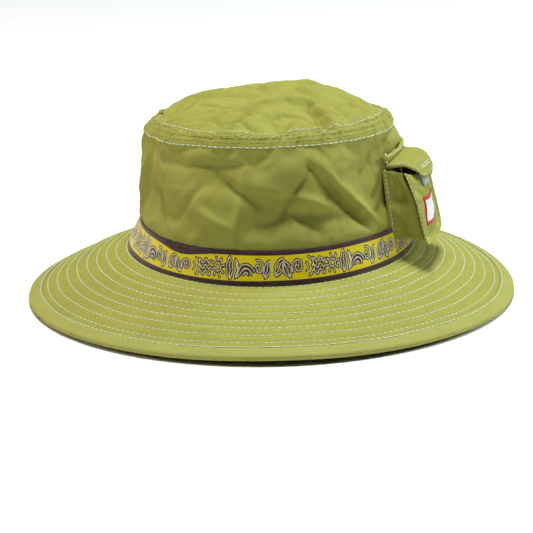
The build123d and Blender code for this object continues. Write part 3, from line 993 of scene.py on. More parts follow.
crown_cloth = fine_points + fine_normals * pucker_relief()[:, None]


def flatten_behind_pocket(cloth):
    """The pocket's own seams hold the wall flat behind it, so no fold stands out there."""
    x, y = plain_points[:, 0], plain_points[:, 1]
    beside = np.abs(y * math.cos(pocket_angle) - x * math.sin(pocket_angle)) < pocket_half + 5 * mm
    behind = beside & (x > 0) & (z_at > foot_z + 8 * mm) & (z_at < foot_z + 64 * mm)
    outward = outward_at(angle_at)
    excess = ((cloth - plain_points) * outward).sum(1) + 0.5 * mm
    return cloth - outward * (np.clip(excess, 0, None) * behind)[:, None]


crown_cloth = flatten_behind_pocket(crown_cloth)
crown_cloth[:, 2] += wall_dip(angle_at, z_at)
crown_cloth[:, 0] += side_lean(angle_at, z_at)
print("crown's cloth rises to", round(float(crown_cloth[:, 2].max()), 4))

# %% [markdown]
# ## Cut the crown into its panels
# The real crown is a front half, a back half and a top. The net is cut where those seams are, and each panel
# gets the thickness of the cloth on its inner side.

# %% Cut the panels


def panel(name, chosen, node, flat):
    """Piece of the crown's cloth made of the chosen quads, with its thickness. flat gives cloth places."""
    used = sorted({v for q in chosen for v in q})
    index = {v: i for i, v in enumerate(used)}
    made = new_object(name, crown_cloth[used], [tuple(index[v] for v in q) for q in chosen], flat(used))
    thick = made.modifiers.new("thickness", "SOLIDIFY")
    thick.thickness = 0.7 * mm
    thick.offset = -1
    return dress(made, HAT, [node], shell_cloth)


def front_flat(used):
    """The front's cloth places. They gain whole turns from ring to ring, so its weave is an even tone."""
    return np.stack([np.unwrap(angle_at[used]) * half_width, z_at[used]], -1)


def back_flat(used):
    """The back's cloth places, in step with its threads."""
    return np.stack([(angle_at[used] % (2 * math.pi)) * half_width, z_at[used]], -1)


def top_flat(used):
    """The top's cloth places, seen from above."""
    return plain_points[used][:, :2]


quad_y = np.array([plain_points[list(q), 1].mean() for q in fine_quads])
quad_z = np.array([z_at[list(q)].mean() for q in fine_quads])
is_top = quad_z > seam_z - 0.2 * mm
front_quads = [q for q, t, y in zip(fine_quads, is_top, quad_y) if not t and y < 0]
back_quads = [q for q, t, y in zip(fine_quads, is_top, quad_y) if not t and y >= 0]
top_quads = [q for q, t in zip(fine_quads, is_top) if t]
panel("crown_front_cloth", front_quads, "crown_side_front", front_flat)
panel("crown_back_cloth", back_quads, "crown_side_back", back_flat)
panel("crown_top_cloth", top_quads, "crown_top", top_flat)

# %% [markdown]
# ## Rows on the crown
# The rows are sewn on the cloth as it lies, so each line is read from the creased net: the nearest points to
# the row's place on the plain crown, moved as the cloth was.

# %% Find places on the creased cloth
plain_tree = KDTree(len(plain_points))
for i, p in enumerate(plain_points):
    plain_tree.insert(p, i)
plain_tree.balance()


def on_cloth(place, lift):
    """The creased cloth's point at a place on the plain crown."""
    near = plain_tree.find_n(Vector(place), 4)
    weights = np.array([1 / (d + 0.2 * mm) for _, _, d in near])
    weights /= weights.sum()
    found = [i for _, i, _ in near]
    point = (crown_cloth[found] * weights[:, None]).sum(0)
    away = (np.asarray(place) - (plain_points[found] * weights[:, None]).sum(0))
    normal = (fine_normals[found] * weights[:, None]).sum(0)
    return point + away - normal * (away @ normal) + normal * lift


def shoulder_line(inset, z, lift=0.15 * mm, count=300, waver=0.0):
    """Row round the shoulder at a place of the plain crown, laid on the creased cloth."""
    angle = turn_of(count)
    inset = inset + waver * smooth_noise(angle / (2 * math.pi), 9 + waver * 1000 + 0 * angle, 15, 39)
    places = oval_point(angle, inset, z + crown_lean(np.cos(angle), np.sin(angle)))
    return [on_cloth(place, lift) for place in places], True


print("cloth points to search", len(plain_points))

# %% Sew the shoulder
outer_row = shoulder_line(wall_inset - 0.1 * mm, wall_top_z - 0.4 * mm)
inner_row = shoulder_line(panel_inset + 1.2 * mm, panel_z + 0.4 * mm, waver=1.1 * mm)
sew("crown_top_stitches", [outer_row, inner_row], light_thread, HAT, "crown_topstitching")
tone_places = [
    (wall_inset + 1.6 * mm, wall_top_z + 2.2 * mm),
    (seam_inset - 0.9 * mm, seam_z - 1.1 * mm),
    (seam_inset + 1.6 * mm, seam_z + 1.5 * mm),
]
tone_rows = [shoulder_line(inset, z, 0.0) for inset, z in tone_places]
tone_node = "crown_seam_stitching"
sew("crown_seam_stitches", tone_rows, green_thread, HAT, tone_node, fine_long_stitch)

# %% [markdown]
# ## Inside the crown
# Inside, a soft band takes the head's sweat. It is sewn at its foot and leans in a little at its free top
# edge. It is a closed ring of points, like the brim's plies, with a groove where its row pulls it in.

# %% Sweatband
band_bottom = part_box("sweatband")[0].z
band_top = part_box("sweatband")[1].z
band_thickness = 1.2 * mm
sweat_row_share = 0.07


def sweat_point(angle, share, into):
    """Point of the band: share runs up it, into is towards the head."""
    waver = 0.5 * mm * share * smooth_noise(angle / (2 * math.pi), 3 + 2 * share, 14, 91)
    lean = (1.8 + 7.5 * share**1.1) * mm + waver
    z = band_bottom + (band_top - band_bottom) * share
    point = oval_point(angle, wall_inset_at(z) + lean + into, z + foot_dip(angle) * (1 - 0.6 * share))
    point[..., 0] += side_lean(angle, z)
    return point


def sweatband():
    """Soft band with rounded edges and a groove at its row."""
    angle = turn_of(360)
    heights = np.linspace(0, 1, 16)
    rings = [sweat_point(angle, s, 0.35 * mm * (s in (0, 1))) for s in heights]
    for s in heights[::-1]:
        groove = 0.25 * mm * bump(s, sweat_row_share, 0.02)
        rings.append(sweat_point(angle, s, band_thickness - 0.35 * mm * (s in (0, 1)) - groove))
    uv = [np.stack([angle * half_width, np.full_like(angle, i * 2.3 * mm)], -1) for i in range(len(rings))]
    return ring_solid("sweatband_cloth", rings, uv)


dress(sweatband(), HAT, ["sweatband"], band_cloth)
sweat_row = [(sweat_point(turn_of(240), sweat_row_share, band_thickness - 0.1 * mm), True)]
sweat_node = "sweatband_stitching"
sew("sweatband_stitches", sweat_row, green_thread, HAT, sweat_node, fine_long_stitch)

# %% [markdown]
# ## Tapes over the seams
# Seams inside a crown are covered with thin woven tape, so that they don't rub. The tapes' points are laid on
# the creased cloth's inner side, so they follow each crease; the round one is averaged along its length,
# because a tape bridges the smallest puckers.

# %% Tapes over the seams


def cloth_patch(places, lift):
    """Points of the creased cloth at a grid of places on the plain crown."""
    rows, cols = places.shape[:2]
    return np.array([[on_cloth(places[r, c], lift) for c in range(cols)] for r in range(rows)])


def side_tape(name, angle, node):
    """Tape inside a side seam, half its width each side of it."""
    across = np.linspace(-5.5, 5.5, 5) * mm
    heights = np.linspace(band_top - 10 * mm, wall_top_z - 2 * mm, 24)
    places = np.zeros((len(heights), len(across), 3))
    for r, z in enumerate(heights):
        places[r] = leaned_point(angle + across / half_length, wall_inset_at(z), z)
    uv = np.stack(np.meshgrid(across, heights), -1)
    inner, outer = (cloth_patch(places, lift)[:, ::-1] for lift in (-1.5 * mm, -0.95 * mm))
    dress(sheet_solid(name, inner, outer, uv), HAT, [node], tape_cloth)


side_tape("left_seam_tape", 0.0, "side_seam_tape_left")
side_tape("right_seam_tape", math.pi, "side_seam_tape_right")


def round_tape():
    """Tape over the shoulder's seams. It bridges the smallest puckers."""
    count, reach = 260, 5
    places = [
        (wall_inset + 1.2 * mm, wall_top_z + 1.6 * mm),
        (seam_inset, seam_z - 0.2 * mm),
        (panel_inset, panel_z),
    ]
    rings = []
    for lift, chosen in ((-2.4 * mm, places), (-1.8 * mm, places[::-1])):
        for inset, z in chosen:
            line = np.array(shoulder_line(inset, z, lift, count)[0])
            rings.append(np.mean([np.roll(line, k, 0) for k in range(-reach, reach + 1)], 0))
    uv = [np.stack([turn_of(count) * half_width, np.full(count, i * 4 * mm)], -1) for i in range(len(rings))]
    made = ring_solid("shoulder_seam_tape", rings[::-1], uv)
    dress(made, HAT, ["crown_seam_tape"], tape_cloth)


round_tape()

# %% The care label


def care_label():
    """Blank folded label sewn into the sweatband's foot, at the back of the head."""
    low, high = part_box("care_label")
    cols, rows, foot_share = 12, 14, 0.1
    across = np.linspace(low.x, high.x, cols)
    shares = np.linspace(foot_share, foot_share + (high.z - low.z) / (band_top - band_bottom), rows)
    face, behind = np.zeros((rows, cols, 3)), np.zeros((rows, cols, 3))
    for r, share in enumerate(shares):
        curl = 1.6 * mm * ((share - foot_share) ** 2) * (1 + 0.4 * np.sin(across * 180))
        angle = math.pi / 2 - across / half_length
        face[r] = sweat_point(angle, share, band_thickness + 0.45 * mm + curl)
        behind[r] = sweat_point(angle, share, band_thickness + 0.15 * mm + curl)
    uv = np.stack(np.meshgrid(across, shares * (band_top - band_bottom)), -1)
    made = sheet_solid("inner_label", face[:, ::-1], behind[:, ::-1], uv)
    dress(made, HAT, ["care_label"], label_cloth)


care_label()

# %% [markdown]
# ## The woven band
# The hat band is a patterned ribbon: a bright yellow ground between dark edges, with pale strokes outlined in
# dark. A pattern drawn in the weave belongs to the cloth, so it isn't modelled as relief. Each point of a
# fine mesh stores its distance to the nearest stroke, and the material turns that distance into crisp
# edges. The motifs are plain leaves, coils, rays, arches and waves.

# %% Draw one repeat of the pattern
ribbon_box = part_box("ribbon")
ribbon_low = foot_z + 0.3 * mm
ribbon_height = ribbon_box[1].z - ribbon_low + 1.2 * mm
repeats = 8
ribbon_girth = 2 * math.pi * (half_width + half_length) / 2
repeat_length = ribbon_girth / repeats / mm
print("one repeat is", round(repeat_length, 1), "mm long and the band", round(ribbon_height / mm, 1), "mm high")


def arc(x, y, radius, start, end, count=9, squash=1.0):
    """Part of a circle, in degrees."""
    a = np.radians(np.linspace(start, end, count))
    return list(zip(x + radius * np.cos(a), y + radius * squash * np.sin(a)))


def coil(x, y, radius, turns=1.6):
    """Spiral from its middle outwards."""
    a = np.linspace(0, turns * 2 * math.pi, 22)
    r = radius * (0.12 + 0.88 * a / a[-1])
    return list(zip(x + r * np.cos(a), y + r * np.sin(a)))


def leaf(x, y, length, width, turn):
    """Two curved sides and a middle rib."""
    t = np.linspace(-1, 1, 11)
    c, s = math.cos(math.radians(turn)), math.sin(math.radians(turn))
    sides = [[(t_ * length / 2, k * width / 2 * (1 - t_ * t_)) for t_ in t] for k in (-1, 1)]
    sides.append([(-length / 2, 0), (length * 0.3, 0)])
    return [[(x + a * c - b * s, y + a * s + b * c) for a, b in line] for line in sides]


def wave(x, y, length, height, periods):
    """Even wave along the band."""
    t = np.linspace(0, 1, periods * 8 + 1)
    return list(zip(x + length * t, y + height * np.sin(t * periods * 2 * math.pi)))


def pattern_strokes():
    """Strokes of one repeat, in mm, 0 across being the middle of the band."""
    strokes = leaf(5, 0.4, 9.5, 5, 62) + leaf(9.6, -0.6, 9, 4.4, 118)
    strokes += [coil(16.5, 0.2, 4.0), arc(22.6, 0, 4.2, -75, 75, squash=1.1), arc(20.9, 0, 2.2, -60, 60)]
    strokes += [wave(25.6, 2.6, 8.4, 1.1, 2), wave(25.6, -0.2, 8.4, 1.1, 2), wave(25.6, -3.0, 8.4, 1.1, 2)]
    sun_x = 39.2
    strokes += [arc(sun_x, 0, 1.9, 0, 360, 14)]
    for k in range(8):
        a = math.radians(45 * k + 12)
        strokes.append([(sun_x + r * math.cos(a), r * math.sin(a)) for r in (2.9, 4.6)])
    strokes += leaf(47.0, 0, 10.2, 4.2, 90)
    for k in (-1, 0, 1):
        strokes.append([(50.6 + k * 0.2, -4.2 + 0.4 * k), (52.6, -1.2 + 2.2 * k), (50.9, 3.4 + 0.6 * k)])
    strokes += [arc(57.2, -3.6, 3.6, 10, 170), arc(57.2, -3.6, 1.7, 20, 160), arc(57.2, -3.8, 5.6, 25, 155)]
    strokes += [coil(65.2, 0.4, 3.6, 1.3)] + leaf(70.4, -0.6, 8.6, 3.8, 70)
    return strokes


def distance_to(strokes, px, py):
    """Distance from each place to the nearest stroke."""
    best = np.full(px.shape, 99.0)
    for line in strokes:
        for (ax, ay), (bx, by) in zip(line, line[1:]):
            dx, dy = bx - ax, by - ay
            t = np.clip(((px - ax) * dx + (py - ay) * dy) / (dx * dx + dy * dy + 1e-9), 0, 1)
            best = np.minimum(best, np.hypot(px - ax - t * dx, py - ay - t * dy))
    return best


print("strokes in one repeat", len(pattern_strokes()))

# %% Weave the band


def wall_offset_point(angle, z, off):
    """Point off the plain wall, before the crown's creases."""
    point = oval_point(angle, wall_inset_at(z) - off, z + wall_dip(angle, z))
    point[..., 0] += side_lean(angle, z)
    return point


def woven_band():
    """The ribbon, with the distance to the pattern and the place across it stored at each point."""
    per_repeat, rows = 176, 44
    count = per_repeat * repeats
    angle = turn_of(count)
    u = angle / (2 * math.pi)
    shares = np.linspace(0, 1, rows)
    rings, stroke, across = [], [], []
    along = (np.arange(per_repeat) / per_repeat * repeat_length)[None, :].repeat(rows, 0)
    place = ((shares - 0.5) * ribbon_height / 1.16 / mm)[:, None].repeat(per_repeat, 1)
    shaken = along + 0.25 * np.sin(place * 1.7)
    distance = distance_to(pattern_strokes(), shaken, place)
    for r, share in enumerate(shares):
        swell = 0.25 * mm * smooth_noise(u, 2 + share * 1.5, 34, 61)
        middle_out = abs(share - 0.5)
        off = 1.05 * mm - 0.4 * mm * (middle_out > 0.49) + swell * math.sin(math.pi * share)
        off = off + 0.12 * mm * bump(middle_out, 0.44, 0.04)
        edge = 0.35 * mm * smooth_noise(u, 5 + 3 * (share > 0.5) + 0 * u, 20, 62)
        edge -= 3.4 * mm * share * bump(angle, math.radians(360 - 128), math.radians(11))
        rings.append(wall_offset_point(angle, ribbon_low + ribbon_height * share + edge, off))
        stroke.append(np.tile(distance[r], repeats))
        across.append(np.full(count, (share - 0.5) * ribbon_height / mm))
    for share in (1.0, 0.0):
        rings.append(wall_offset_point(angle, ribbon_low + ribbon_height * share, 0.1 * mm))
        stroke.append(np.full(count, 9.0))
        across.append(np.full(count, 9.0))
    uv = [np.stack([angle * half_width, np.full_like(angle, i * 0.42 * mm)], -1) for i in range(len(rings))]
    made = ring_solid("hat_band_ribbon", rings, uv)
    for name, values in (("stroke", stroke), ("across", across)):
        stored = made.data.attributes.new(name, "FLOAT", "POINT")
        stored.data.foreach_set("value", np.concatenate(values).astype(np.float32))
    return made


def ribbon_material():
    """Yellow ground with dark edges. Pale strokes with dark outlines come from the stored distance."""
    material, nodes, links, shader = new_material("woven_ribbon", 0.6, 0.3)
    stroke = add(nodes, "ShaderNodeAttribute", attribute_name="stroke")
    across = add(nodes, "ShaderNodeAttribute", attribute_name="across")
    flecks = thread_noise(nodes, links, 0.9 * mm, 0.5 * mm, 1.0)
    shaken = add(nodes, "ShaderNodeMath", operation="MULTIPLY_ADD", in_1=0.34)
    links.new(flecks, shaken.inputs[0])
    links.new(stroke.outputs["Fac"], shaken.inputs[2])
    pale = ramp(nodes, links, shaken.outputs[0], 0.44, 0.54, 1.0, 0.0)
    dark = ramp(nodes, links, shaken.outputs[0], 0.98, 1.10, 1.0, 0.0)
    side_place = add(nodes, "ShaderNodeMath", operation="ABSOLUTE")
    links.new(across.outputs["Fac"], side_place.inputs[0])
    edge = ramp(nodes, links, side_place.outputs[0], 6.9, 7.15, 0.0, 1.0)
    rib = ramp(nodes, links, flecks, 0.3, 0.7, 0.0, 0.5)
    ground = mix_colour(nodes, links, rib, (0.80, 0.66, 0.008, 1), (0.62, 0.50, 0.008, 1))
    brown = (0.055, 0.022, 0.030, 1)
    fleck = ramp(nodes, links, flecks, 0.62, 0.70, 0.0, 0.55)
    edging = mix_colour(nodes, links, fleck, brown, (0.30, 0.20, 0.16, 1))
    lined = mix_colour(nodes, links, dark, ground, brown)
    drawn = mix_colour(nodes, links, pale, lined, (0.66, 0.62, 0.47, 1))
    links.new(mix_colour(nodes, links, edge, drawn, edging), shader.inputs["Base Color"])
    emboss(nodes, links, shader, flecks, 0.35, 0.15 * mm)
    return material


dress(woven_band(), HAT, ["ribbon"], ribbon_material())
ribbon_rows = []
for share in (0.075, 0.925):
    z = ribbon_low + ribbon_height * share
    ribbon_rows.append((wall_offset_point(turn_of(500), z, 0.95 * mm), True))
band_stitch = {"Pitch": 2.6 * mm, "Stitch length": 2.0 * mm, "Thickness": 0.5 * mm}
sew("hat_band_stitches", ribbon_rows, brown_thread, HAT, "ribbon_stitching", band_stitch)

# %% [markdown]
# ## The bellows pocket
# The pocket sits on the wearer's left and faces a little forward. Its own frame is read from the flap's
# hinge: x points away from the hat, y runs along the pocket from front to back, and z is up. Everything on
# it is drawn in that frame and turned to the hat's.

# %% The pocket's frame and measures
pocket_turn = -pocket_angle
hinge_x, hinge_z = math.hypot(hinge[0], hinge[1]), hinge[2]
gusset_low, gusset_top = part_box("pocket_gusset")[0].z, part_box("pocket_gusset")[1].z
front_low, front_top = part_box("pocket_front")[0].z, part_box("pocket_front")[1].z
depth_low, depth_top, depth_loss = 20 * mm, 15.5 * mm, 5.5 * mm
print("pocket turned", round(math.degrees(pocket_turn), 2), "degrees")
print("front from", round(front_low, 4), "to", round(front_top, 4))

# %% Places in the pocket's frame


def pocket_noise(y, v, cells, seed):
    """Noise along the pocket, which is less than 80 mm long."""
    return smooth_noise((y + 40 * mm) / (80 * mm), v, cells, seed, False)


def to_hat(points):
    """Points of the pocket's frame in the hat's."""
    p = np.asarray(points, float)
    c, s = math.cos(-pocket_turn), math.sin(-pocket_turn)
    return np.stack([p[..., 0] * c - p[..., 1] * s, p[..., 0] * s + p[..., 1] * c, p[..., 2]], -1)


def wall_x(z, y):
    """Distance of the plain wall from the hat's middle, along the pocket's x."""
    inset = wall_inset_at(z)
    a, b = half_width - inset, half_length - inset
    c, s = math.cos(pocket_turn), math.sin(pocket_turn)
    square = (c / a) ** 2 + (s / b) ** 2
    cross = y * c * s * (1 / a**2 - 1 / b**2)
    rest = y**2 * ((s / a) ** 2 + (c / b) ** 2) - 1
    return (-cross + np.sqrt(cross**2 - square * rest)) / square


def front_x(z, y):
    """Outer face of the pocket's front, before its creases."""
    share = np.clip((z - gusset_low) / (front_top - gusset_low), -0.1, 1.2)
    depth = depth_low + (depth_top - depth_low) * share
    bulge = (1.5 + 5.0 * share) * mm
    flat = wall_x(z, -pocket_half + 0 * y) + depth - depth_loss / 2 - depth_loss * y / (2 * pocket_half)
    drawn = 3.6 * mm * np.clip((z - front_top + 15 * mm) / (15 * mm), 0, 1.2) ** 1.3
    drawn = (drawn + 0.4 * mm) * (1 - np.clip(y / pocket_half, 0, 1) ** 2)
    return flat - drawn + bulge * np.clip(1 - (y / pocket_half) ** 2, 0, 1)


print("wall behind the pocket at", round(float(wall_x(front_low, 0.0)), 4))


# %% [markdown]
# ## Front of the pocket
# The front is one panel whose edges are pinched together with the gusset's and sewn, so a thin ridge stands
# along both sides and the bottom. The panel between bulges, dips at its top edge and has a few creases.

# %% Shape the front
ridge_height, ridge_width = 1.9 * mm, 1.5 * mm
corner_round = 7.0 * mm


def front_half(z):
    """Half of the front's width at a height, rounded at the lower corners."""
    up = np.clip((front_low + corner_round - z) / corner_round, 0, 1)
    return pocket_half + 1.2 * mm - corner_round * (1 - np.sqrt(1 - up**2 * 0.98))


def front_point(z, y, lift):
    """Points of the front's outer face, with its ridge, groove, hem and creases."""
    inside = np.minimum(front_half(z) - np.abs(y), z - front_low)
    ridge = ridge_height * np.exp(-(np.clip(inside, 0, None) / ridge_width) ** 2)
    groove = -0.5 * mm * bump(inside, 3.4 * mm, 1.4 * mm)
    hem = 0.35 * mm * bump(z, front_top - 2 * mm, 3 * mm) - 0.3 * mm * bump(z, front_top - 6.5 * mm, 0.8 * mm)
    soft = 0.7 * mm * pocket_noise(y, z / (9 * mm), 9, 101)
    soft += 0.3 * mm * pocket_noise(y, z / (4 * mm), 20, 102)
    crease = -1.2 * mm * along_segment(y / mm, z / mm, -22, 74, -8, 62, 3.0)
    crease -= 1.0 * mm * along_segment(y / mm, z / mm, 22, 60, 8, 50, 3.0)
    fade = np.clip(inside / (5 * mm), 0, 1)
    x = front_x(z, y) + ridge + groove + hem * fade + (soft + crease) * fade + lift
    near_top = np.clip((z - front_top + 8 * mm) / (8 * mm), 0, 1)
    dip = -1.6 * mm * (1 - (y / pocket_half) ** 2) * near_top
    outward = 0.35 * np.sign(y) * ridge
    corner = 2.4 * mm * np.abs(y / pocket_half) ** 3 * np.clip((z - front_top + 12 * mm) / (12 * mm), 0, 1)
    return np.stack([x, y + outward, z + dip + corner], -1)


def spread_evenly(count, edge=0.65):
    """Values from -1 to 1, closer together towards both ends."""
    t = np.linspace(-1, 1, count)
    return edge * np.sin(t * math.pi / 2) + (1 - edge) * t


front_rows, front_columns = 62, 84
heights = front_low + (front_top - front_low) * (np.linspace(0, 1, front_rows) ** 1.15)
front_z = heights[:, None].repeat(front_columns, 1)
front_y = spread_evenly(front_columns)[None, :] * front_half(heights)[:, None]
front_uv = np.stack([front_y, front_z], -1)
front_face, front_back = (to_hat(front_point(front_z, front_y, lift)) for lift in (0, -0.9 * mm))
front_cloth = sheet_solid("pocket_front_cloth", front_face, front_back, front_uv)
dress(front_cloth, FRONT, ["pocket_front"], shell_cloth)

# %% Sew the front's edges


def ridge_line(inside, lift):
    """Line at a distance inside the front's edge, down one side, under and up the other."""
    down = np.linspace(front_top - 0.5 * mm, front_low + corner_round, 40)
    points = [(z, -(front_half(z) - inside)) for z in down]
    centre = pocket_half + 1.2 * mm - corner_round
    radius = corner_round - inside
    for a in np.linspace(0.1, math.pi / 2, 12):
        points.append((front_low + corner_round - radius * math.sin(a), -centre - radius * math.cos(a)))
    points += [(z, -y) for z, y in points[::-1]]
    z, y = np.array(points).T
    return to_hat(front_point(z, y, lift)), False


ridge_side = ridge_line(0.2 * mm, -0.45 * mm)[0]
from_middle = ridge_side - to_hat((hinge_x, 0, 0))
along_pocket = to_hat((0, 1, 0))
ridge_side = ridge_side + np.sign(from_middle @ along_pocket)[:, None] * along_pocket * 0.4 * mm
front_sewing = [ridge_line(2.2 * mm, 0.15 * mm), (ridge_side, False)]
sew("pocket_front_stitches", front_sewing, light_thread, FRONT, "pocket_front_stitching", short_stitch)

# %% The label and the loop tape
strip_share = 0.86


def on_front(name, node, material, rows, cols, lift, thickness, raised=0.0):
    """Small piece that lies on the front, the size of its node."""
    low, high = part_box(node)
    half = (high.y - low.y) / 2 / math.cos(pocket_turn) * strip_share
    z_steps, y_steps = np.linspace(low.z, high.z, rows) + raised, np.linspace(-half, half, cols)
    z, y = np.meshgrid(z_steps, y_steps, indexing="ij")
    face, behind = front_point(z, y, lift + thickness), front_point(z, y, lift)
    made = sheet_solid(name, to_hat(face), to_hat(behind), np.stack([y + half, z - low.z], -1))
    return dress(made, FRONT, [node], material)


def bordered_label():
    """Pale woven label with a red border, drawn from its own cloth coordinates."""
    low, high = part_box("pocket_label")
    material, nodes, links, shader = new_material("bordered_label", 0.7, 0.2)
    uv = add(nodes, "ShaderNodeUVMap", uv_map="cloth")
    parts = add(nodes, "ShaderNodeSeparateXYZ")
    links.new(uv.outputs[0], parts.inputs[0])
    width, height = (high.y - low.y) / math.cos(pocket_turn) * strip_share, high.z - low.z
    nearest = None
    for output, size in ((0, width), (1, height)):
        away = add(nodes, "ShaderNodeMath", operation="PINGPONG", in_1=size / 2)
        links.new(parts.outputs[output], away.inputs[0])
        if nearest is None:
            nearest = away.outputs[0]
        else:
            least = add(nodes, "ShaderNodeMath", operation="MINIMUM")
            links.new(nearest, least.inputs[0])
            links.new(away.outputs[0], least.inputs[1])
            nearest = least.outputs[0]
    border = ramp(nodes, links, nearest, 2.0 * mm, 2.2 * mm, 1.0, 0.0)
    coloured = mix_colour(nodes, links, border, (0.80, 0.81, 0.86, 1), (0.62, 0.02, 0.03, 1))
    links.new(coloured, shader.inputs["Base Color"])
    emboss(nodes, links, shader, thread_noise(nodes, links, 0.3 * mm, 0.8 * mm, 1.0), 0.4, 0.1 * mm)
    return material


lying = 0.1 * mm
on_front("pocket_woven_label", "pocket_label", bordered_label(), 18, 30, lying, 0.45 * mm)
on_front("pocket_loop_strip", "pocket_loop_tape", hook_cloth, 10, 22, lying, 1.0 * mm, 4.0 * mm)

# %% [markdown]
# ## The gusset
# The strip that gives the pocket its depth runs down the near side, under, and up the far side. It is joined
# to the crown and the front, so it folds like bellows when the pocket is pressed flat.

# %% Shape the gusset


def gusset_path():
    """Places round the pocket's side and bottom (y, z) with the outward direction at each."""
    radius = 6.5 * mm
    near = [(-pocket_half, z, -1, 0) for z in np.linspace(gusset_top - 0.5 * mm, gusset_low + radius, 52)]
    corner = []
    for a in np.linspace(0, math.pi / 2, 16)[1:-1]:
        y, z = -(pocket_half - radius) - radius * math.cos(a), gusset_low + radius - radius * math.sin(a)
        corner.append((y, z, -math.cos(a), -math.sin(a)))
    under = [(y, gusset_low, 0, -1) for y in np.linspace(-(pocket_half - radius), 0, 16)]
    half = near + corner + under
    return np.array(half + [(-y, z, -ny, nz) for y, z, ny, nz in half[-2::-1]])


def gusset_point(path, share, lift):
    """share runs from the crown, 0, to the front, 1."""
    y, z, ny, nz = path.T
    start = wall_x(z, y) - 0.8 * mm
    end = front_x(np.clip(z, front_low, front_top), y) - 0.4 * mm
    x = start + (end - start) * share
    along = np.linspace(0, 1, len(path))
    arch = math.sin(math.pi * share)
    lip = 1.1 * mm * np.exp(-(share * 21 / 1.8) ** 2)
    swell = 1.6 * mm * arch * np.clip(1.2 - nz * nz, 0.2, 1)
    pinch = -3.0 * mm * math.sin(math.pi * min(1, share * 1.1)) ** 2 * (bump(along, 0.155, 0.03) + 0.5)
    pinch -= 1.3 * mm * bump(share, 0.7, 0.12) * bump(along, 0.10, 0.04)
    soft = 0.8 * mm * smooth_noise(along, share * 3 + 2, 16, 111, False) * arch
    soft += 0.3 * mm * smooth_noise(along, share * 7 + 2, 42, 112, False) * arch
    out = lip + swell + pinch + soft + lift
    sag = 0.4 * mm * arch * (np.abs(nz) < 0.1) * np.clip((z - gusset_top + 8 * mm) / (8 * mm), 0, 1)
    above = gusset_top - front_top
    drop = np.clip((z - front_top) / above, 0, 1) * above * share * 0.45
    return np.stack([x, y + ny * out, z + nz * out + sag - drop], -1)


path = gusset_path()
shares = 0.5 + 0.5 * spread_evenly(34, 0.4)
gusset_face = np.array([gusset_point(path, s, 0.0) for s in shares])
gusset_back = np.array([gusset_point(path, s, -0.8 * mm) for s in shares])
walk = np.concatenate([[0], np.cumsum(np.linalg.norm(np.diff(path[:, :2], axis=0), axis=1))])
gusset_uv = np.stack(np.meshgrid(walk, shares * 22 * mm), -1)
gusset = sheet_solid("pocket_gusset_cloth", to_hat(gusset_face), to_hat(gusset_back), gusset_uv)
gusset.data.materials.append(shell_cloth)
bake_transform(gusset)
place_piece(gusset, ["pocket_gusset"])
back_rows = [(to_hat(gusset_point(p, 0.115, 0.15 * mm)), False) for p in (path[:50], path[-50:])]
sew("pocket_gusset_stitches", back_rows, light_thread, HAT, "pocket_gusset_stitching", short_stitch)

# %% [markdown]
# ## The flap
# The flap is two plies sewn round their edge and turned, so it is thinnest and stiffest at its sewn edge and
# a little puffed inside. It springs out from a fold sewn across the crown.

# %% Shape the flap
flap_length = 22 * mm
root_half, tip_half = 27 * mm, 12 * mm
end_droop = math.radians(72)
tip_round = 8 * mm


def flap_half(s):
    """Half of the flap's width at a distance from the hinge, with round tip corners."""
    straight = root_half + (tip_half - root_half) * s / flap_length
    up = np.clip((s - flap_length + tip_round) / tip_round, 0, 1)
    return straight - tip_round * 0.9 * (1 - np.sqrt(np.clip(1 - up**2, 0.0, 1)))


def flap_point(s, y, lift):
    """Point of the flap at a distance s from the hinge."""
    share = s / flap_length
    edge = np.clip((flap_half(s) - np.abs(y)) / (4 * mm), 0, 1)
    edge = edge * np.clip((flap_length - s) / (4 * mm), 0, 1)
    puff = (0.6 + 0.4 * edge) * lift
    root = wall_x(hinge_z, y) + 0.6 * mm
    reach = root + (hinge_x - root) * np.clip(s / (3 * mm), 0, 1)
    turned = end_droop * share
    radius = flap_length / end_droop
    x = reach + radius * np.sin(turned)
    curl = -2.6 * mm * (y / root_half) ** 2 - 1.5 * mm * share**2 * (y / root_half) ** 2
    rise = 1.5 * mm * np.sin(math.pi * np.clip(share, 0, 1)) * (1 - 0.5 * (y / root_half) ** 2)
    soft = 0.5 * mm * pocket_noise(y, 4 * share + 2, 8, 121) * np.clip(share * 3, 0, 1)
    root_z = hinge_z + 0.5 * mm * np.exp(-s / (2 * mm))
    z = root_z - radius * (1 - np.cos(turned)) + curl + rise + soft + puff
    return np.stack([x, y, z], -1)


flap_rows, flap_columns = 52, 64
flap_s = (np.linspace(0, 1, flap_rows)[:, None] ** 0.95).repeat(flap_columns, 1) * flap_length
flap_y = spread_evenly(flap_columns)[None, :] * flap_half(flap_s)
flap_uv = np.stack([flap_y, flap_s], -1)


def flap_sheet(name, s, y, low, high, uv):
    """Sheet on the flap between two lifts."""
    return sheet_solid(name, to_hat(flap_point(s, y, low)), to_hat(flap_point(s, y, high)), uv)


def flap_ply(name, top, bottom, node, material):
    """One ply of the flap, between two lifts."""
    made = flap_sheet(name, flap_s, flap_y, bottom, top, flap_uv)
    made.data.materials.append(material)
    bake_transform(made)
    place_piece(made, [node])


flap_ply("flap_outer_cloth", 1.15 * mm, 0.05 * mm, "flap_outer", shell_cloth)
flap_ply("flap_facing_cloth", -0.05 * mm, -1.0 * mm, "flap_facing", lining_cloth)

# %% Sew the flap and add its hook tape


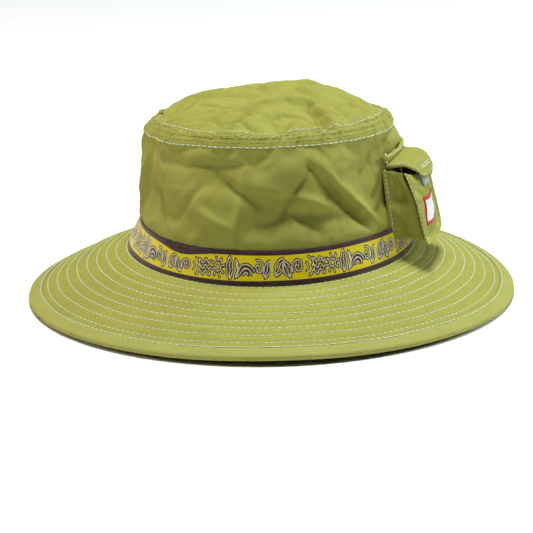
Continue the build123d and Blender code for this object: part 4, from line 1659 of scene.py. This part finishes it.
def flap_edge_line(inside, lift):
    """Row round the flap's free edge."""
    s = np.linspace(3.5 * mm, flap_length - tip_round, 24)
    points = [(a, -(flap_half(a) - inside)) for a in s]
    centre = flap_half(flap_length - tip_round) - tip_round
    radius = tip_round - inside
    for a in np.linspace(0.15, math.pi / 2, 10):
        y = -centre - radius * 0.9 * math.cos(a) - 0.1 * tip_round
        points.append((flap_length - tip_round + radius * math.sin(a), y))
    points += [(a, -b) for a, b in points[::-1]]
    s, y = np.array(points).T
    return to_hat(flap_point(s, y, lift)), False


def hook_bar():
    """Close zigzag rows that hold the hook tape, sewn through the outer ply."""
    count = 31
    steps = np.linspace(-1, 1, count)
    rows = []
    for start in (flap_length - 6.2 * mm, flap_length - 5.0 * mm):
        s = start + 0.8 * mm * (np.arange(count) % 2)
        rows.append((to_hat(flap_point(s, steps * 8.5 * mm, 1.3 * mm)), False))
    return rows


flap_lines = [flap_edge_line(2.0 * mm, 1.25 * mm)] + hook_bar()
flap_stitch = {"Pitch": 2.2 * mm, "Stitch length": 2.0 * mm, "Thickness": 0.6 * mm}
sew("flap_stitches", flap_lines, light_thread, FLAP, "flap_topstitching", flap_stitch)
tape_lengths = np.linspace(flap_length - 8.5 * mm, flap_length - 1.8 * mm, 10)
tape_s, tape_y = np.meshgrid(tape_lengths, np.linspace(-9.5, 9.5, 24) * mm, indexing="ij")
tape_uv = np.stack([tape_y, tape_s], -1)
hook_piece = flap_sheet("flap_hook_strip", tape_s, tape_y, -2.0 * mm, -1.05 * mm, tape_uv)
dress(hook_piece, FLAP, ["flap_hook_tape"], hook_cloth)

# %% [markdown]
# ## The flap's sewn fold
# Where the flap is sewn to the crown its edge is turned under, which makes a rounded ridge that follows the
# crown. A row of stitches runs along it, and a short bar of close stitches locks each end.

# %% Shape the fold


def fold_point(y, turn, size=1.0):
    """Section of the fold: an oval standing on the wall, turn in radians round it."""
    waver = 0.4 * mm * pocket_noise(y, 3 + 0 * y, 14, 131)
    z = hinge_z + 2.3 * mm + 2.5 * mm * size * np.sin(turn) + waver
    x = wall_x(hinge_z, y) + 0.9 * mm + 1.5 * mm * size * np.cos(turn)
    return np.stack([x, y + 0 * x, z + 0 * x], -1)


def sewn_fold():
    """The fold as a tube with closed ends that follows the crown."""
    count, sides = 90, 18
    half = root_half + 0.6 * mm
    along = np.linspace(-half, half, count)
    turns = np.arange(sides) * 2 * math.pi / sides
    end = np.clip((half - np.abs(along)) / (1.5 * mm), 0.05, 1) ** 0.5
    grid = np.array([fold_point(along, t, end) for t in turns])
    faces = []
    for t in range(sides):
        for c in range(count - 1):
            a, b = t * count + c, ((t + 1) % sides) * count + c
            faces.append((a, a + 1, b + 1, b))
    faces.append([t * count for t in range(sides)])
    faces.append([t * count + count - 1 for t in range(sides - 1, -1, -1)])
    uv = np.stack(np.meshgrid(along, turns * 2 * mm), -1)
    return new_object("flap_sewn_fold", to_hat(grid).reshape(-1, 3), faces, uv.reshape(-1, 2))


dress(sewn_fold(), HAT, ["flap_seam_fold"], shell_cloth)
fold_line = to_hat(fold_point(np.linspace(-25.5, 25.5, 60) * mm, math.radians(35), 1.08))
tacks = []
tack_turns = np.radians(np.linspace(-50, 80, 8))
for y in (-26.4 * mm, 26.4 * mm):
    for k in range(4):
        line = [fold_point(np.array(y + k * 0.35 * mm), t, 1.05) for t in tack_turns]
        tacks.append((to_hat(np.array(line)), False))
fold_rows = [(fold_line, False)] + tacks
sew("flap_hinge_stitches", fold_rows, light_thread, HAT, "flap_hinge_stitching", short_stitch)

# %% [markdown]
# ## Floor, light and camera
# A plain pale floor and three large soft lamps. The camera looks a little down on the hat's front from well
# back, through a long lens, so the brim keeps its proportions.

# %% Set the stage


def soft_lamp(name, place, aim, size, power, colour):
    """Round area lamp turned to a place."""
    lamp = bpy.data.objects.new(name, bpy.data.lights.new(name, "AREA"))
    lamp.data.shape, lamp.data.size, lamp.data.energy, lamp.data.color = "DISK", size, power, colour
    lamp.location = place
    lamp.rotation_euler = (Vector(aim) - Vector(place)).to_track_quat("-Z", "Y").to_euler()
    bpy.context.scene.collection.objects.link(lamp)


floor_material, _, _, floor_shader = new_material("pale_floor", 0.9)
floor_shader.inputs["Base Color"].default_value = (0.92, 0.92, 0.92, 1)
floor = new_object("floor", [(-6, -4, 0), (6, -4, 0), (6, 8, 0), (-6, 8, 0)], [(0, 1, 2, 3)])
floor.data.materials.append(floor_material)
world = bpy.data.worlds.new("studio")
world.use_nodes = True
sky = world.node_tree.nodes["Background"]
sky.inputs["Color"].default_value = (1.0, 0.96, 0.8, 1)
sky.inputs["Strength"].default_value = 0.05
bpy.context.scene.world = world
soft_lamp("key", (0.0, -0.3, 3.3), (0, 0.1, 0), 1.3, 95, (0.96, 0.99, 1.0))
soft_lamp("left", (-2.9, 0.0, 1.3), (0, 0, 0.06), 1.2, 24, (1.0, 0.88, 0.72))
soft_lamp("right", (2.6, 0.7, 1.3), (0, 0, 0.06), 1.0, 42, (0.86, 0.96, 1.0))
bpy.context.scene.view_settings.view_transform = "Standard"
bpy.context.scene.view_settings.look = "Medium High Contrast"
print("lamps", [lamp.name for lamp in bpy.data.lights])

# %% Aim the camera
camera = bpy.data.objects.new("camera", bpy.data.cameras.new("camera"))
bpy.context.scene.collection.objects.link(camera)
camera.data.lens = 160
elevation, distance, roll = math.radians(15), 1.465, math.radians(-1.15)
aim = Vector((-2.75 * mm, 0, 14.6 * mm))
back = Vector((0, -math.cos(elevation), math.sin(elevation)))
camera.location = aim + back * distance
camera.rotation_mode = "QUATERNION"
turn = (-back).to_track_quat("-Z", "Y")
camera.rotation_quaternion = Quaternion(back, roll) @ turn
bpy.context.scene.camera = camera
print("camera", [round(v, 3) for v in camera.location], "lens", camera.data.lens)
